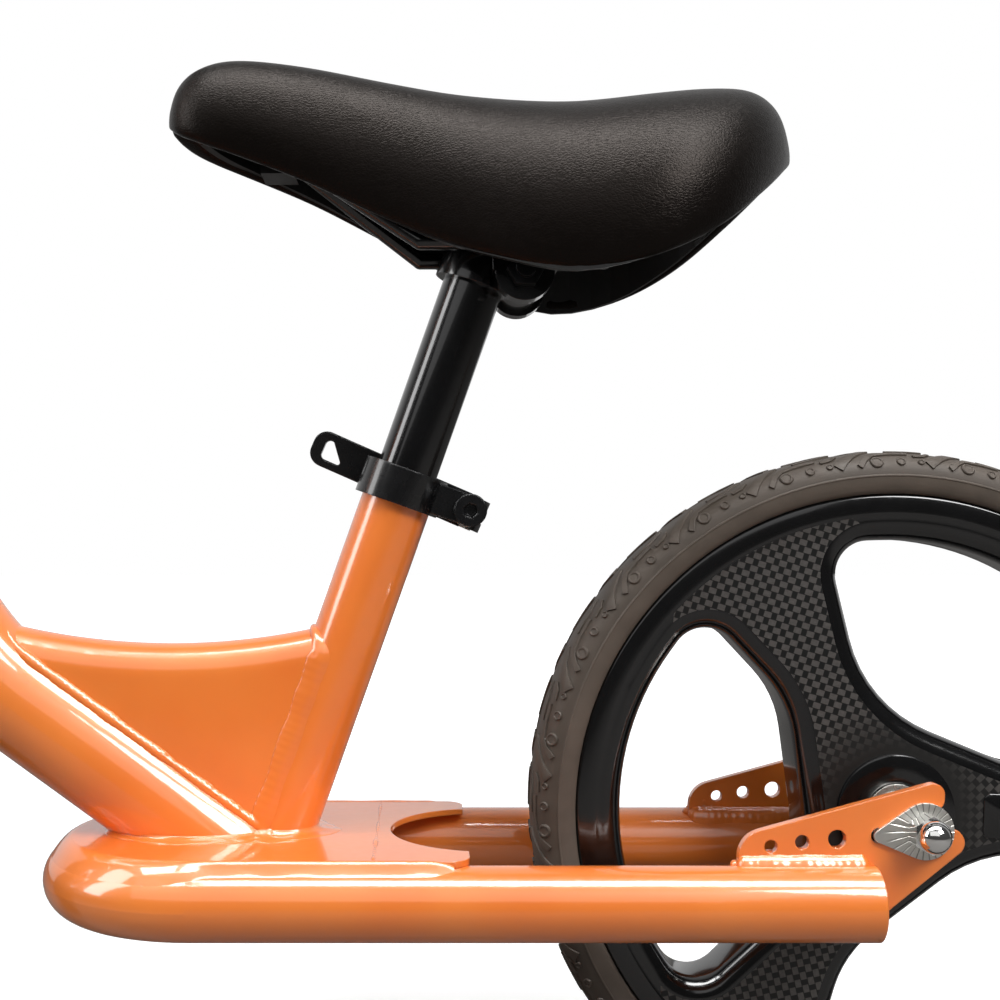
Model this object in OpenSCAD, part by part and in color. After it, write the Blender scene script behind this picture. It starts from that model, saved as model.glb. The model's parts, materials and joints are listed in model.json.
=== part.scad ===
// Balance bike: a welded frame with a footrest loop, quick-release seat and bar clamps, and
// two moulded three-spoke wheels. The front points along -X, the bike's left is -Y, and the
// tyres stand on Z = 0.

/* [Stance] */
// Distance between the axles
wheelbase = 570; // [550:5:620]
// Steering axis above the horizontal, in degrees
head_angle = 70; // [69:0.5:71]
// Front axle ahead of the steering axis
fork_rake = 30; // [24:1:34]

/* [Wheels] */
// Outer diameter of a tyre
tyre_od = 296; // [288:2:304]
// Width of a tyre
tyre_w = 41; // [39:0.5:46]
// Height of a tyre above the edge of its rim
tyre_h = 18; // [15:0.5:21]
// Width of the rim
rim_w = 33; // [30:0.5:35]
// Depth of the rim's channel
channel_d = 8; // [6:0.5:10]
// Wall of the rim's channel
channel_wall = 3.5; // [2.5:0.5:5]
// Height of the rim's ring, from a window to its edge
ring_h = 19; // [16:1:22]
// Thickness of a spoke where it meets the hub
spoke_hub_t = 36; // [32:1:38]
// Thickness of a spoke where it meets the ring
spoke_rim_t = 32; // [26:1:32]
// Diameter of the hub
hub_d = 48; // [40:1:56]
// Width of the hub
hub_w = 40; // [39:1:46]
// Inner edge of a window, from the axle
window_in = 36.5; // [34:0.5:42]
// Lean of a window's inner edge, in degrees
window_lean = 9.5; // [0:0.5:15]
// Angle between the two sides of a window
window_angle = 90; // [80:1:94]

/* [Bearings and axles] */
// Diameter of an axle
axle_d = 8; // [6:0.5:8]
// Outer diameter of a bearing
bearing_od = 24; // [24:1:28]
// Width of a bearing
bearing_w = 8; // [7:0.5:10]
// Outer diameter of the spacers on an axle
spacer_d = 12.5; // [11:0.5:13]
// Across the flats of an axle nut
nut_af = 13; // [12:0.5:14]
// Height of an axle nut with its dome
nut_h = 15.5; // [14:0.5:18]
// Radius of a tab washer's round part
washer_r = 10.9; // [9:0.1:11.5]
// Thickness of a tab washer
washer_t = 1.5; // [1:0.1:2]
// Distance from the axle to a washer's tab
tab_reach = 17.7; // [16.5:0.1:19]

/* [Dropouts] */
// Distance between the inner faces of two dropouts
dropout_gap = 94; // [90:1:100]
// Thickness of a dropout
dropout_t = 4; // [3:0.5:5]
// Front end of a rear dropout, ahead of the axle
dropout_reach = 71.5; // [68:0.5:80]
// Diameter of the front accessory hole
hole_front_d = 5; // [4:0.5:6]
// Diameter of the middle accessory hole
hole_mid_d = 5.5; // [4:0.5:6]
// Diameter of the rear accessory hole
hole_rear_d = 7; // [5:0.5:8]

/* [Footrest] */
// Outer diameter of the footrest tube
rest_od = 28.6; // [26:0.2:30]
// Wall of the footrest tube
rest_wall = 1.8; // [1.4:0.1:2.5]
// Distance from the rear axle forward to the centre of the footrest's bend
rest_reach = 281.5; // [275:0.5:295]
// Gap between the tube's ends and the rear axle, measured along the bike
rest_end = 19.5; // [16:0.5:24]
// Drop from the axle to the tube's centre line
rest_drop = 27.2; // [25:0.1:30]
// Thickness of the footrest plates
plate_t = 2.5; // [2:0.1:3]
// Width of the footrest plates
plate_w = 114; // [108:1:120]
// Seam between the two plates, behind the centre of the bend
plate_seam = 70; // [66:1:74]
// Rear end of the plate, behind the centre of the bend
plate_rear = 107; // [100:1:115]
// Radius of the round notch in the plate
notch_r = 41; // [38:1:44]

/* [Main frame] */
// Outer diameter of the main tube
main_od = 44.5; // [42:0.5:45]
// Wall of the main tube
main_wall = 2; // [1.5:0.1:3]
// Slope of the main tube where it leaves the plate, in degrees
main_slope = 35.9; // [34:0.1:38]
// Length of the main tube from the plate to the corner of its bend
main_low = 126; // [118:1:134]
// Radius of the main tube's bend
main_bend = 120; // [90:5:140]
// Outer diameter of the seat tube
seat_tube_od = 29.5; // [28.6:0.1:31]
// Backward lean of the seat tube, in degrees
seat_tilt = 19.6; // [18:0.1:21]
// Length of the seat tube
seat_tube_l = 159.5; // [150:0.5:170]
// Seat tube's foot, behind the centre of the footrest's bend
seat_foot = 29; // [26:0.5:32]
// Thickness of the gusset box across the bike
box_w = 26; // [20:1:28]
// Height of the box over the plate, at its lowest point
box_h = 78; // [70:1:84]
// Radius of the box's hollowed top edge
box_r = 285; // [240:5:320]
// Sheet of the gusset box
box_t = 2; // [1.5:0.1:3]

/* [Steering] */
// Outer diameter of the head tube
head_od = 46; // [46:0.5:48]
// Wall of the head tube
head_wall = 2.5; // [2:0.1:3]
// Length of the head tube
head_l = 95; // [90:1:110]
// Outer diameter of the steerer tube
steerer_od = 28.6; // [28:0.2:30]
// Gap between a tyre and the fork's crown
crown_gap = 11; // [10:0.5:16]
// Outer diameter of a fork blade
blade_od = 25.4; // [24:0.2:26]
// Wall of a fork blade
blade_wall = 1.6; // [1.4:0.1:2]
// Radius of a fork blade's bend
blade_bend = 40; // [38:0.5:42]
// Diameter of the headset's balls
head_ball = 5; // [4.5:0.1:5]

/* [Handlebar] */
// Outer diameter of the stem tube
stem_od = 25.4; // [24:0.2:26]
// Length of the stem tube that stands above the steerer
stem_up = 141; // [130:1:170]
// Length of the stem tube that is held inside the steerer
stem_in = 85; // [80:1:95]
// Outer diameter of the handlebar
bar_od = 22.2; // [20:0.2:24]
// Wall of the stem tube and of the handlebar
bar_wall = 1.8; // [1.5:0.1:2.5]
// Width of the handlebar without its grips' ends
bar_w = 410; // [400:5:440]
// Bends of the handlebar, in degrees
bar_angle = 30; // [20:1:32]
// Backward lean of the handlebar's raised ends, in degrees
bar_lean = 10; // [0:1:15]
// Length of a grip
grip_l = 92; // [85:1:98]
// Diameter of a grip
grip_d = 30; // [28:0.5:33]
// Diameter of a grip's round end
grip_end_d = 38; // [34:1:42]

/* [Quick-release clamps] */
// Height of a clamp's collar
clamp_h = 15.2; // [13:0.2:17]
// Wall of a clamp's collar
clamp_wall = 3.2; // [2.5:0.1:4]
// Skewer's axis behind the surface of the clamped tube
skewer_back = 15.2; // [14:0.1:17]
// Diameter of a skewer
skewer_d = 5; // [4:0.1:5]
// Diameter of the round nut
round_nut_d = 13.4; // [12:0.2:15]
// Length of the lever ahead of its pin
lever_l = 73; // [65:1:80]
// Width of the lever
lever_w = 15.6; // [14:0.2:17]
// Thickness of the lever
lever_t = 4.5; // [3.5:0.1:5]

/* [Seat] */
// Outer diameter of the seat post
post_od = 25.4; // [24:0.2:25.8]
// Wall of the seat post
post_wall = 1.8; // [1.5:0.1:2.5]
// Length of the seat post that stands above the seat tube
post_up = 95; // [92:1:110]
// Length of the seat post that is held inside the seat tube
post_in = 95; // [90:1:98]
// Length of the saddle
saddle_l = 262; // [250:2:280]
// Greatest width of the saddle
saddle_w = 133; // [120:1:140]
// Height of the saddle's crown over the clamp bolt
saddle_h = 91; // [88:1:96]
// Nose of the saddle, ahead of the clamp bolt
saddle_nose = 147; // [140:1:155]
// Thickness of the saddle's padding
pad_t = 10; // [8:0.5:12]
// Diameter of the saddle's rails
rail_d = 7; // [6:0.2:7.4]
// Distance between the rails in the clamp
rail_gauge = 44; // [42:0.5:48]

/* [Hidden] */
$fn = 96;
fit = 0.05;        // radial clearance of parts pushed together
slide = 0.08;      // radial clearance of parts that slide or turn
run = 0.4;         // gap between parts that move past each other
big = 400;         // longer than any cut needs to be

// wheels
tyre_r = tyre_od / 2;
edge_r = tyre_r - tyre_h;
bed_r = edge_r - channel_d;
window_r = edge_r - ring_h;
axle_z = tyre_r;
rear_x = wheelbase / 2;
front_x = -wheelbase / 2;
pitch_r = (bearing_od + axle_d) / 4;
ball_r = (bearing_od - axle_d) * 0.12;
race_gap = ball_r * 0.68;                // from the balls' circle to each race
dropout_out = dropout_gap / 2 + dropout_t;
nut_face = dropout_out + washer_t;

// footrest and plate
bend_x = rear_x - rest_reach;
rest_z = axle_z - rest_drop;
plate_z = rest_z + rest_od / 2;
top_z = plate_z + plate_t;
leg_x = rear_x - rest_end;
drop_y = dropout_gap / 2 + dropout_t / 2;
leg_y = drop_y + 5;                      // the dropout stands 5 inside the tube's centre
main_foot_x = bend_x - 4.2;
seat_foot_x = bend_x + seat_foot;

// steering axis, from the foot that is square to the front axle
steer_tilt = 90 - head_angle;
steer_x = front_x + fork_rake * cos(steer_tilt);
steer_z = axle_z - fork_rake * sin(steer_tilt);
blade_top = tyre_r + crown_gap + blade_od / 2;
crown_s = sqrt(blade_top * blade_top - fork_rake * fork_rake);
blade_lean = atan(fork_rake / crown_s);
blade_y = drop_y - 3;
blade_foot = 26;                         // the blade ends this far above the axle
race_s = crown_s + blade_od / 2 + 4.5;
cup_h = 10;
head_low = race_s + cup_h;
head_top = head_low + head_l;
top_race_s = head_top + cup_h;
nut_s = top_race_s + 5;
locknut_h = 6;
bar_clamp_s = nut_s + locknut_h + 2 + clamp_h / 2;
steerer_top = bar_clamp_s + clamp_h / 2;
bar_s = steerer_top + stem_up;
joint_s = (head_low + head_top) / 2 + 9; // the main tube's axis meets the steering axis here
steerer_r = steerer_od / 2;

// main tube: a corner on the sloping part, then straight to the steering axis
main_corner = [main_foot_x - main_low * cos(main_slope), top_z + main_low * sin(main_slope)];
main_end = [steer_x + joint_s * sin(steer_tilt), steer_z + joint_s * cos(steer_tilt)];
main_rise = main_end - main_corner;
main_turn = atan2(main_rise[1], -main_rise[0]) - main_slope;
main_tangent = main_bend * tan(main_turn / 2);
main_start = 50;                         // starts this far below the plate, and is cut there
main_path = [[main_start + main_low - main_tangent, main_bend, main_turn],
             [norm(main_rise) - main_tangent, 0, 0]];

// seat clamp, saddle clamp and saddle
seat_clamp_u = seat_tube_l + 0.6 - clamp_h / 2;
post_top = seat_tube_l + post_up;
bolt_u = post_top - 4;
bolt_back = 18;
clamp_ring_h = 18;
rail_up = 12.5;
saddle_x = seat_foot_x + bolt_back * cos(seat_tilt) + bolt_u * sin(seat_tilt);
saddle_z = top_z - bolt_back * sin(seat_tilt) + bolt_u * cos(seat_tilt);

// handlebar
bar_rise_l = 30;
bar_bend = 50;
bar_mid = 30;
bar_end_l = bar_w / 2 - bar_mid - 2 * bar_bend * sin(bar_angle) - bar_rise_l * cos(bar_angle);
bar_path = [[bar_mid, bar_bend, bar_angle], [bar_rise_l, bar_bend, -bar_angle], [bar_end_l, 0, 0]];
bar_up = 2 * bar_bend * (1 - cos(bar_angle)) + bar_rise_l * sin(bar_angle);

// clamp, measured from the skewer
ear_w = 11;
slit_w = 3;
cam_washer_t = 2;
cam_r = 8;
cam_throw = 1;
cam_pin_d = 9;
pin_y = ear_w + cam_washer_t + run + cam_r + cam_throw;
lever_pitch = 4;

PAINT = "#ee7f32";
STEEL = "#c8c9c6";
BLACK = "#1d1d1f";
RUBBER = "#6b6460";

// ---- outlines ----

// Points of a corner at b, on the way from a to c, rounded with radius r
function unit(v) = v / norm(v);
function corner(a, b, c, r) =
    let (u = unit(a - b), w = unit(c - b), half = acos(u * w) / 2,
         centre = b + unit(u + w) * r / sin(half),
         first = b + u * r / tan(half) - centre, last = b + w * r / tan(half) - centre,
         a0 = atan2(first[1], first[0]), sweep = (atan2(last[1], last[0]) - a0 + 540) % 360 - 180,
         n = max(2, ceil(abs(sweep) / 12)))
    [for (i = [0 : n]) centre + r * [cos(a0 + sweep * i / n), sin(a0 + sweep * i / n)]];

// Closed outline from corners [x, y, radius]; a radius of 0 keeps the corner sharp
function outline(pts) =
    let (n = len(pts), at = [for (p = pts) [p[0], p[1]]])
    [for (i = [0 : n - 1]) each pts[i][2] == 0 ? [at[i]]
        : corner(at[(i + n - 1) % n], at[i], at[(i + 1) % n], pts[i][2])];

// Outline made of one half and its mirror image across the first axis
function mirrored(half) =
    concat(half, [for (i = [len(half) - 1 : -1 : 0]) [half[i][0], -half[i][1], half[i][2]]]);

function polar(r, a) = [r * cos(a), r * sin(a)];

// ---- placing ----

module on_rear_axle() translate([rear_x, 0, axle_z]) children();
module on_front_axle() translate([front_x, 0, axle_z]) children();
module on_seat_axis(u = 0) translate([seat_foot_x, 0, top_z]) rotate([0, seat_tilt, 0])
    translate([0, 0, u]) children();
module on_steer_axis(s = 0) translate([steer_x, 0, steer_z]) rotate([0, steer_tilt, 0])
    translate([0, 0, s]) children();
// The plane of the fork's blades: origin at the front axle, +Z along the blades
module on_blades() on_steer_axis() translate([-fork_rake, 0, 0]) rotate([0, blade_lean, 0])
    children();
module on_saddle() translate([saddle_x, 0, saddle_z]) children();
module both_sides() for (s = [0, 1]) mirror([0, s, 0]) children();
// A cylinder along Y from y0 to y1
module cross(d, y0, y1) translate([0, y0, 0]) rotate([-90, 0, 0]) cylinder(d = d, h = y1 - y0);
// A plate with an XZ outline, from y0 to y1
module plate_xz(pts, y0, y1) translate([0, y1, 0]) rotate([90, 0, 0])
    linear_extrude(y1 - y0) polygon(pts);
// A solid turned about Y from a profile of [radius, y]
module turned_y(pts) rotate([-90, 0, 0]) rotate_extrude($fn = 144) polygon(pts);
module below(z) translate([-big, -big, z - 2 * big]) cube(2 * big);

// ---- tubes ----

lap = 0.5;                               // a straight length reaches this far into its bends
swell = 0.04;                            // a tube is this much thicker in a bend

// A rod that starts along +Z; each step is [length, bend radius, bend angle towards +Y]
module rod(r, path, i = 0) {
    run_l = path[i][0];
    bend = path[i][1];
    angle = path[i][2];
    back = i > 0 ? lap : 0;
    on = i + 1 < len(path) ? lap : 0;
    translate([0, 0, -back]) cylinder(r = r, h = run_l + back + on);
    if (i + 1 < len(path)) translate([0, 0, run_l]) rotate([0, 0, angle < 0 ? 180 : 0]) {
        translate([0, bend, 0]) rotate([90, 0, -90])
            rotate_extrude(angle = abs(angle)) translate([bend, 0]) circle(r = r + swell);
        translate([0, bend * (1 - cos(angle)), bend * sin(abs(angle))])
            rotate([-abs(angle), 0, 0]) rotate([0, 0, angle < 0 ? -180 : 0])
            rod(r, path, i + 1);
    }
}
function longer(path) = [for (i = [0 : len(path) - 1])
    [path[i][0] + (i == 0 ? 1 : 0) + (i == len(path) - 1 ? 1 : 0), path[i][1], path[i][2]]];
module bent_tube(od, wall, path) difference() {
    rod(od / 2, path);
    translate([0, 0, -1]) rod(od / 2 - wall, longer(path));
}
module tube(od, id, h) difference() {
    cylinder(d = od, h = h);
    translate([0, 0, -1]) cylinder(d = id, h = h + 2);
}

// ---- frame ----

module main_axis(r_add, hollow = false) translate([main_foot_x, 0, top_z])
    rotate([0, main_slope - 90, 0]) rotate([0, 0, -90]) translate([0, 0, -main_start])
    if (hollow) bent_tube(main_od, main_wall, main_path);
    else rod(main_od / 2 + r_add, main_path);

module head_tube() color(PAINT) on_steer_axis(head_low)
    tube(head_od, head_od - 2 * head_wall, head_l);

module main_tube() color(PAINT) difference() {
    main_axis(0, true);
    on_seat_axis(-60) cylinder(d = seat_tube_od + 2 * fit, h = 60 + seat_tube_l);
    on_steer_axis(head_low - 10) cylinder(d = head_od + 2 * fit, h = head_l + 60);
    below(top_z);
}

box_far = 155;                           // the box ends inside this length of the tubes
module box_ring(r, w) translate([bend_x - 16.5, 0, top_z + box_h + box_r])
    turned_y(outline([[r, -w / 2, 8], [r, w / 2, 8], [r + 130, w / 2, 0], [r + 130, -w / 2, 0]]));

module gusset_box() color(PAINT) difference() {
    intersection() {
        difference() {
            box_ring(box_r, box_w);
            box_ring(box_r + box_t, box_w - 2 * box_t);
        }
        plate_xz([[main_foot_x, top_z], [main_foot_x - box_far * cos(main_slope),
            top_z + box_far * sin(main_slope)], [seat_foot_x + box_far * sin(seat_tilt),
            top_z + box_far * cos(seat_tilt)], [seat_foot_x, top_z]], -box_w, box_w);
    }
    main_axis(fit);
    on_seat_axis(-20) cylinder(d = seat_tube_od + 2 * fit, h = 20 + seat_tube_l);
}

module seat_tube() color(PAINT) difference() {
    on_seat_axis(-30) tube(seat_tube_od, post_od + 2 * slide, seat_tube_l + 30);
    on_seat_axis(seat_tube_l - 28) translate([0, -1.25, 0]) cube([seat_tube_od, 2.5, 29]);
    below(top_z);
}

module footrest_rod(r, more) translate([bend_x, 0, rest_z]) {
    rotate([0, 0, 90]) rotate_extrude(angle = 180) translate([leg_y, 0]) circle(r = r);
    both_sides() translate([0, leg_y, 0]) rotate([0, 90, 0])
        cylinder(r = r, h = leg_x - bend_x + more);
}

module dropout_slots() both_sides()
    translate([rear_x - dropout_reach - fit, dropout_gap / 2 - fit, rest_z])
    cube([dropout_reach + 1, dropout_t + 2 * fit, rest_od]);

module footrest_tube() color(PAINT) difference() {
    footrest_rod(rest_od / 2, 0);
    footrest_rod(rest_od / 2 - rest_wall, 1);
    dropout_slots();
}

cap_t = 3;
tongue_z = -rest_drop - 7;
module footrest_end_caps() color(PAINT) difference() {
    both_sides() translate([leg_x - cap_t, leg_y, rest_z]) rotate([0, 90, 0])
        cylinder(d = rest_od - 2 * rest_wall - 2 * fit, h = cap_t);
    both_sides() translate([leg_x - cap_t - 1, dropout_gap / 2 - fit, axle_z + tongue_z - fit])
        cube([cap_t + 2, dropout_t + 2 * fit, rest_od]);
}

module plate_sheet() translate([bend_x, 0, plate_z]) linear_extrude(plate_t) children();

module footrest_plate_front() color(PAINT) plate_sheet() {
    circle(d = plate_w);
    translate([0, -plate_w / 2]) square([plate_seam, plate_w]);
}

module footrest_plate_rear() color(PAINT) plate_sheet() difference() {
    polygon(outline([[plate_seam, -plate_w / 2, 0], [plate_rear, -plate_w / 2, 8],
        [plate_rear, plate_w / 2, 8], [plate_seam, plate_w / 2, 0]]));
    translate([plate_rear + 9.5, 0]) circle(r = notch_r);
}

// Rear dropout, measured from the axle: the slot opens to the rear and up
slot_r = axle_d / 2 + 0.3;
slot_a = 32;
edge_a = 38.9;
tip = [17.2, -5.6];
holes = [[-59, -6, hole_front_d], [-47, -4.3, hole_mid_d], [-33.6, -3.1, hole_rear_d]];
tab_a = 186;
tab_hole_d = 6;

module rear_dropout() difference() {
    plate_xz(outline(concat(
        [[-dropout_reach, tongue_z, 0], [tip[0] - (tip[1] - tongue_z) / tan(edge_a), tongue_z, 0],
         [tip[0], tip[1], 5], [12.6, 0.8, 3]],
        [for (p = [polar(slot_r, slot_a - 90) + polar(6.2, slot_a)]) [p[0], p[1], 0]],
        [for (i = [0 : 12]) let (p = polar(slot_r, slot_a - 90 - 15 * i)) [p[0], p[1], 0]],
        [for (p = [polar(slot_r, slot_a + 90) + polar(5, slot_a)]) [p[0], p[1], 0]],
        [[7.6, 9.6, 3.8], [8, 19.5, 4.2], [-dropout_reach, -2.2, 11]])),
        dropout_gap / 2, dropout_out);
    for (h = holes) translate([h[0], 0, h[1]]) cross(h[2], 0, dropout_gap);
    rotate([0, -tab_a, 0]) translate([tab_reach, 0, 0]) cross(tab_hole_d, 0, dropout_gap);
}

module dropout_right() color(PAINT) on_rear_axle() rear_dropout();
module dropout_left() color(PAINT) on_rear_axle() mirror([0, 1, 0]) rear_dropout();

// ---- axle hardware, drawn around the axle at the origin ----

axle_r = axle_d / 2;
bearing_in = hub_w / 2 - bearing_w;      // inner face of a bearing

module axle() color(STEEL) cross(axle_d, -nut_face - nut_h + 6, nut_face + nut_h - 6);

module axle_nuts() color(STEEL) both_sides() difference() {
    dome_r = nut_af * 0.48;
    union() {
        translate([0, nut_face, 0]) rotate([-90, 30, 0])
            cylinder(d = nut_af / cos(30), h = nut_h - dome_r - 1.5, $fn = 6);
        cross(2 * dome_r, nut_face, nut_face + nut_h - dome_r);
        translate([0, nut_face + nut_h - dome_r, 0]) sphere(r = dome_r);
    }
    cross(axle_d + 2 * fit, nut_face - 1, nut_face + nut_h - 6 + fit);
}

// Teardrop washer whose bent tab hooks into the dropout, at angle a from +X
module tab_washers(a) color(STEEL) both_sides() rotate([0, -a, 0]) {
    tab_r = 2.3;
    side = acos((washer_r - tab_r) / tab_reach);
    difference() {
        plate_xz(concat(
            [for (t = [side : (360 - 2 * side) / 36 : 360.01 - side]) polar(washer_r, t)],
            [for (i = [0 : 6]) polar(tab_r, -side + 2 * side * i / 6) + [tab_reach, 0]]),
            dropout_out, nut_face);
        cross(axle_d + 2 * fit, 0, dropout_gap);
    }
    translate([tab_reach - 1.1, dropout_out - 2.5, -1.6]) cube([2.2, 2.5, 3.2]);
}

module ring_y(d_out, d_in, y0, y1) difference() {
    cross(d_out, y0, y1);
    cross(d_in, y0 - 1, y1 + 1);
}

module axle_spacers() color(STEEL) {
    bore = axle_d + 2 * fit;
    ring_y(spacer_d, bore, -bearing_in, bearing_in);
    both_sides() ring_y(spacer_d, bore, hub_w / 2, dropout_gap / 2);
}

module race_ring(r0, r1) both_sides() rotate([-90, 0, 0]) rotate_extrude() difference() {
    translate([r0, -hub_w / 2]) square([r1 - r0, bearing_w]);
    translate([pitch_r, -hub_w / 2 + bearing_w / 2]) circle(r = ball_r + fit);
}

module inner_rings() color(STEEL) race_ring(axle_r + fit, pitch_r - race_gap);

module outer_rings() color(STEEL) {
    race_ring(pitch_r + race_gap, bearing_od / 2 - fit);
    both_sides() for (y = [bearing_in + 0.3, hub_w / 2 - 0.8])
        ring_y(2 * (pitch_r + race_gap - fit), 2 * (pitch_r - race_gap + 0.3), y, y + 0.5);
}

module bearing_balls() color(STEEL) both_sides() for (i = [0 : 7])
    rotate([0, 45 * i, 0]) translate([pitch_r, hub_w / 2 - bearing_w / 2, 0]) sphere(r = ball_r);

module rear_axle() on_rear_axle() axle();
module rear_axle_nuts() on_rear_axle() axle_nuts();
module rear_tab_washers() on_rear_axle() tab_washers(tab_a);
module rear_axle_spacers() on_rear_axle() axle_spacers();
module rear_bearing_inner_rings() on_rear_axle() inner_rings();
module rear_bearing_outer_rings() on_rear_axle() outer_rings();
module rear_bearing_balls() on_rear_axle() bearing_balls();
module front_axle() on_blades() axle();
module front_axle_nuts() on_blades() axle_nuts();
module front_tab_washers() on_blades() tab_washers(90);
module front_axle_spacers() on_front_axle() axle_spacers();
module front_bearing_inner_rings() on_front_axle() inner_rings();
module front_bearing_outer_rings() on_front_axle() outer_rings();
module front_bearing_balls() on_front_axle() bearing_balls();

// ---- wheels ----

channel_half = rim_w / 2 - channel_wall;

module tyre() color(RUBBER) turned_y(outline(mirrored([
    [bed_r + fit, channel_half - fit, 0.8], [edge_r + fit, channel_half - fit, 0],
    [edge_r + fit, rim_w / 2, 0], [edge_r + 7.5, tyre_w / 2 - 1, 4],
    [edge_r + 12, tyre_w / 2, 5], [tyre_r - 1.5, 13, 6], [tyre_r, 4, 12]])));

// One window, around +X: a leaning inner edge, two sides that point at the axle, a round rim side
module window() {
    h = window_angle / 2;
    t = 34;                              // the rim side's arc runs this far to each side
    top = window_in / (cos(h) - tan(window_lean) * sin(h));
    low = window_in / (cos(h) + tan(window_lean) * sin(h));
    out = window_r / cos(h - t);
    polygon(outline([for (p = concat([[top, -h, 45], [out, -h, 14]],
        [for (a = [-t : t / 8 : t]) [window_r, a, 0]], [[out, h, 14], [low, h, 55]]))
        [each polar(p[0], p[1]), p[2]]]));
}

module rim() color(BLACK) difference() {
    turned_y(outline(mirrored([
        [bearing_od / 2 - 2.5, bearing_in, 0], [bearing_od / 2, bearing_in, 0],
        [bearing_od / 2, hub_w / 2, 0], [hub_d / 2, hub_w / 2, 1],
        [hub_d / 2, spoke_hub_t / 2, 0.5], [window_r - 2, spoke_rim_t / 2, 0],
        [window_r + 2, rim_w / 2, 1], [edge_r, rim_w / 2, 0.8], [edge_r, channel_half, 0.8],
        [bed_r, channel_half, 0.8]])));
    for (i = [0 : 2]) rotate([0, -178 - 120 * i, 0]) rotate([90, 0, 0])
        linear_extrude(2 * hub_w, center = true) window();
}

module rear_tyre() on_rear_axle() tyre();
module rear_rim() on_rear_axle() rim();
module front_tyre() on_front_axle() tyre();
module front_rim() on_front_axle() rim();

// ---- fork and headset ----

crown_r = steerer_r + 1.2;               // the steerer's thicker foot, which carries the race

module steerer_tube() color(PAINT) difference() {
    union() {
        on_steer_axis(crown_s - blade_od / 2 - 1.5) cylinder(r = steerer_r,
            h = steerer_top - crown_s + blade_od / 2 + 1.5);
        on_steer_axis(crown_s - blade_od / 2 - 1.5) cylinder(r = crown_r,
            h = race_s - crown_s + blade_od / 2 + 1.5);
    }
    on_steer_axis() cylinder(d = stem_od + 2 * slide, h = bar_s);
    on_steer_axis(steerer_top - clamp_h - 1) translate([0, -1, 0]) cube([steerer_od, 2, big]);
}

tongue_w = 21;
tongue_top = blade_foot + 24;

module fork_blade() difference() {
    translate([0, blade_y, blade_foot]) rotate([0, 0, 180]) bent_tube(blade_od, blade_wall,
        [[blade_top - blade_bend - blade_foot, blade_bend, 90],
         [blade_y - blade_bend - 0.3, 0, 0]]);
    translate([-tongue_w / 2 - fit, dropout_gap / 2 - fit, 0])
        cube([tongue_w + 2 * fit, dropout_t + 2 * fit, tongue_top + fit]);
}

module blade_cut() difference() {
    children();
    on_steer_axis(crown_s - 60) cylinder(r = crown_r + fit, h = 120);
}

module fork_blade_right() color(PAINT) blade_cut() on_blades() fork_blade();
module fork_blade_left() color(PAINT) blade_cut() on_blades() mirror([0, 1, 0]) fork_blade();

module fork_dropout() difference() {
    plate_xz(outline(concat(
        [[slot_r, -14, 1.5], [13.5, -14, 5], [13.5, 5, 8], [tongue_w / 2, 17, 8],
         [tongue_w / 2, tongue_top, 3], [-tongue_w / 2, tongue_top, 3],
         [-tongue_w / 2, 17, 8], [-13.5, 5, 8], [-13.5, -14, 5], [-slot_r, -14, 1.5]],
        [for (i = [0 : 12]) let (p = polar(slot_r, 180 - 15 * i)) [p[0], p[1], 0]])),
        dropout_gap / 2, dropout_out);
    translate([0, 0, tab_reach]) cross(tab_hole_d, 0, dropout_gap);
}

module fork_dropout_right() color(PAINT) on_blades() fork_dropout();
module fork_dropout_left() color(PAINT) on_blades() mirror([0, 1, 0]) fork_dropout();

// Headset: balls between a cone on the steerer and a cone in the cup, both at 45 degrees
head_pitch = steerer_r + 3.9;
ball_s = 6.2;
cone = (head_ball / 2 + fit) * sqrt(2);  // from the balls' circle to a cone, along the axis
cone_out = head_pitch + 2.8;

module head_cup() color(STEEL) rotate_extrude() polygon([
    [cone_out, 3.5], [head_od / 2, 3.5], [head_od / 2, cup_h],
    [head_od / 2 - head_wall - fit, cup_h], [head_od / 2 - head_wall - fit, cup_h + 8],
    [head_pitch - 1.7, cup_h + 8], [head_pitch - 1.7, ball_s + cone + 1.7],
    [cone_out, ball_s + cone - 2.8]]);

module head_race(deep) color(STEEL) rotate_extrude() polygon([
    [steerer_r + fit, -deep], [cone_out, -deep], [cone_out, 2.5],
    [head_pitch + ball_s - cone - 2.5, 2.5],
    [steerer_r + fit, head_pitch + ball_s - cone - steerer_r - fit]]);

module ball_row() for (i = [0 : 17]) rotate([0, 0, 20 * i])
    translate([head_pitch, 0, ball_s]) sphere(d = head_ball);

module headset_cup_lower() on_steer_axis(race_s) head_cup();
module headset_cup_upper() on_steer_axis(top_race_s) mirror([0, 0, 1]) head_cup();
module headset_crown_race() on_steer_axis(race_s) head_race(0);
module headset_top_race() on_steer_axis(top_race_s) mirror([0, 0, 1]) head_race(nut_s - top_race_s);
module headset_locknut() color(STEEL) on_steer_axis(nut_s) difference() {
    cylinder(d = 36 / cos(30), h = locknut_h, $fn = 6);
    translate([0, 0, -1]) cylinder(r = steerer_r + fit, h = locknut_h + 2);
}
module headset_balls() color(STEEL) {
    on_steer_axis(race_s) ball_row();
    on_steer_axis(top_race_s) mirror([0, 0, 1]) ball_row();
}

// ---- quick-release clamp around a tube of diameter d, +X towards its skewer ----

function skewer_x(d) = d / 2 + skewer_back;

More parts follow.
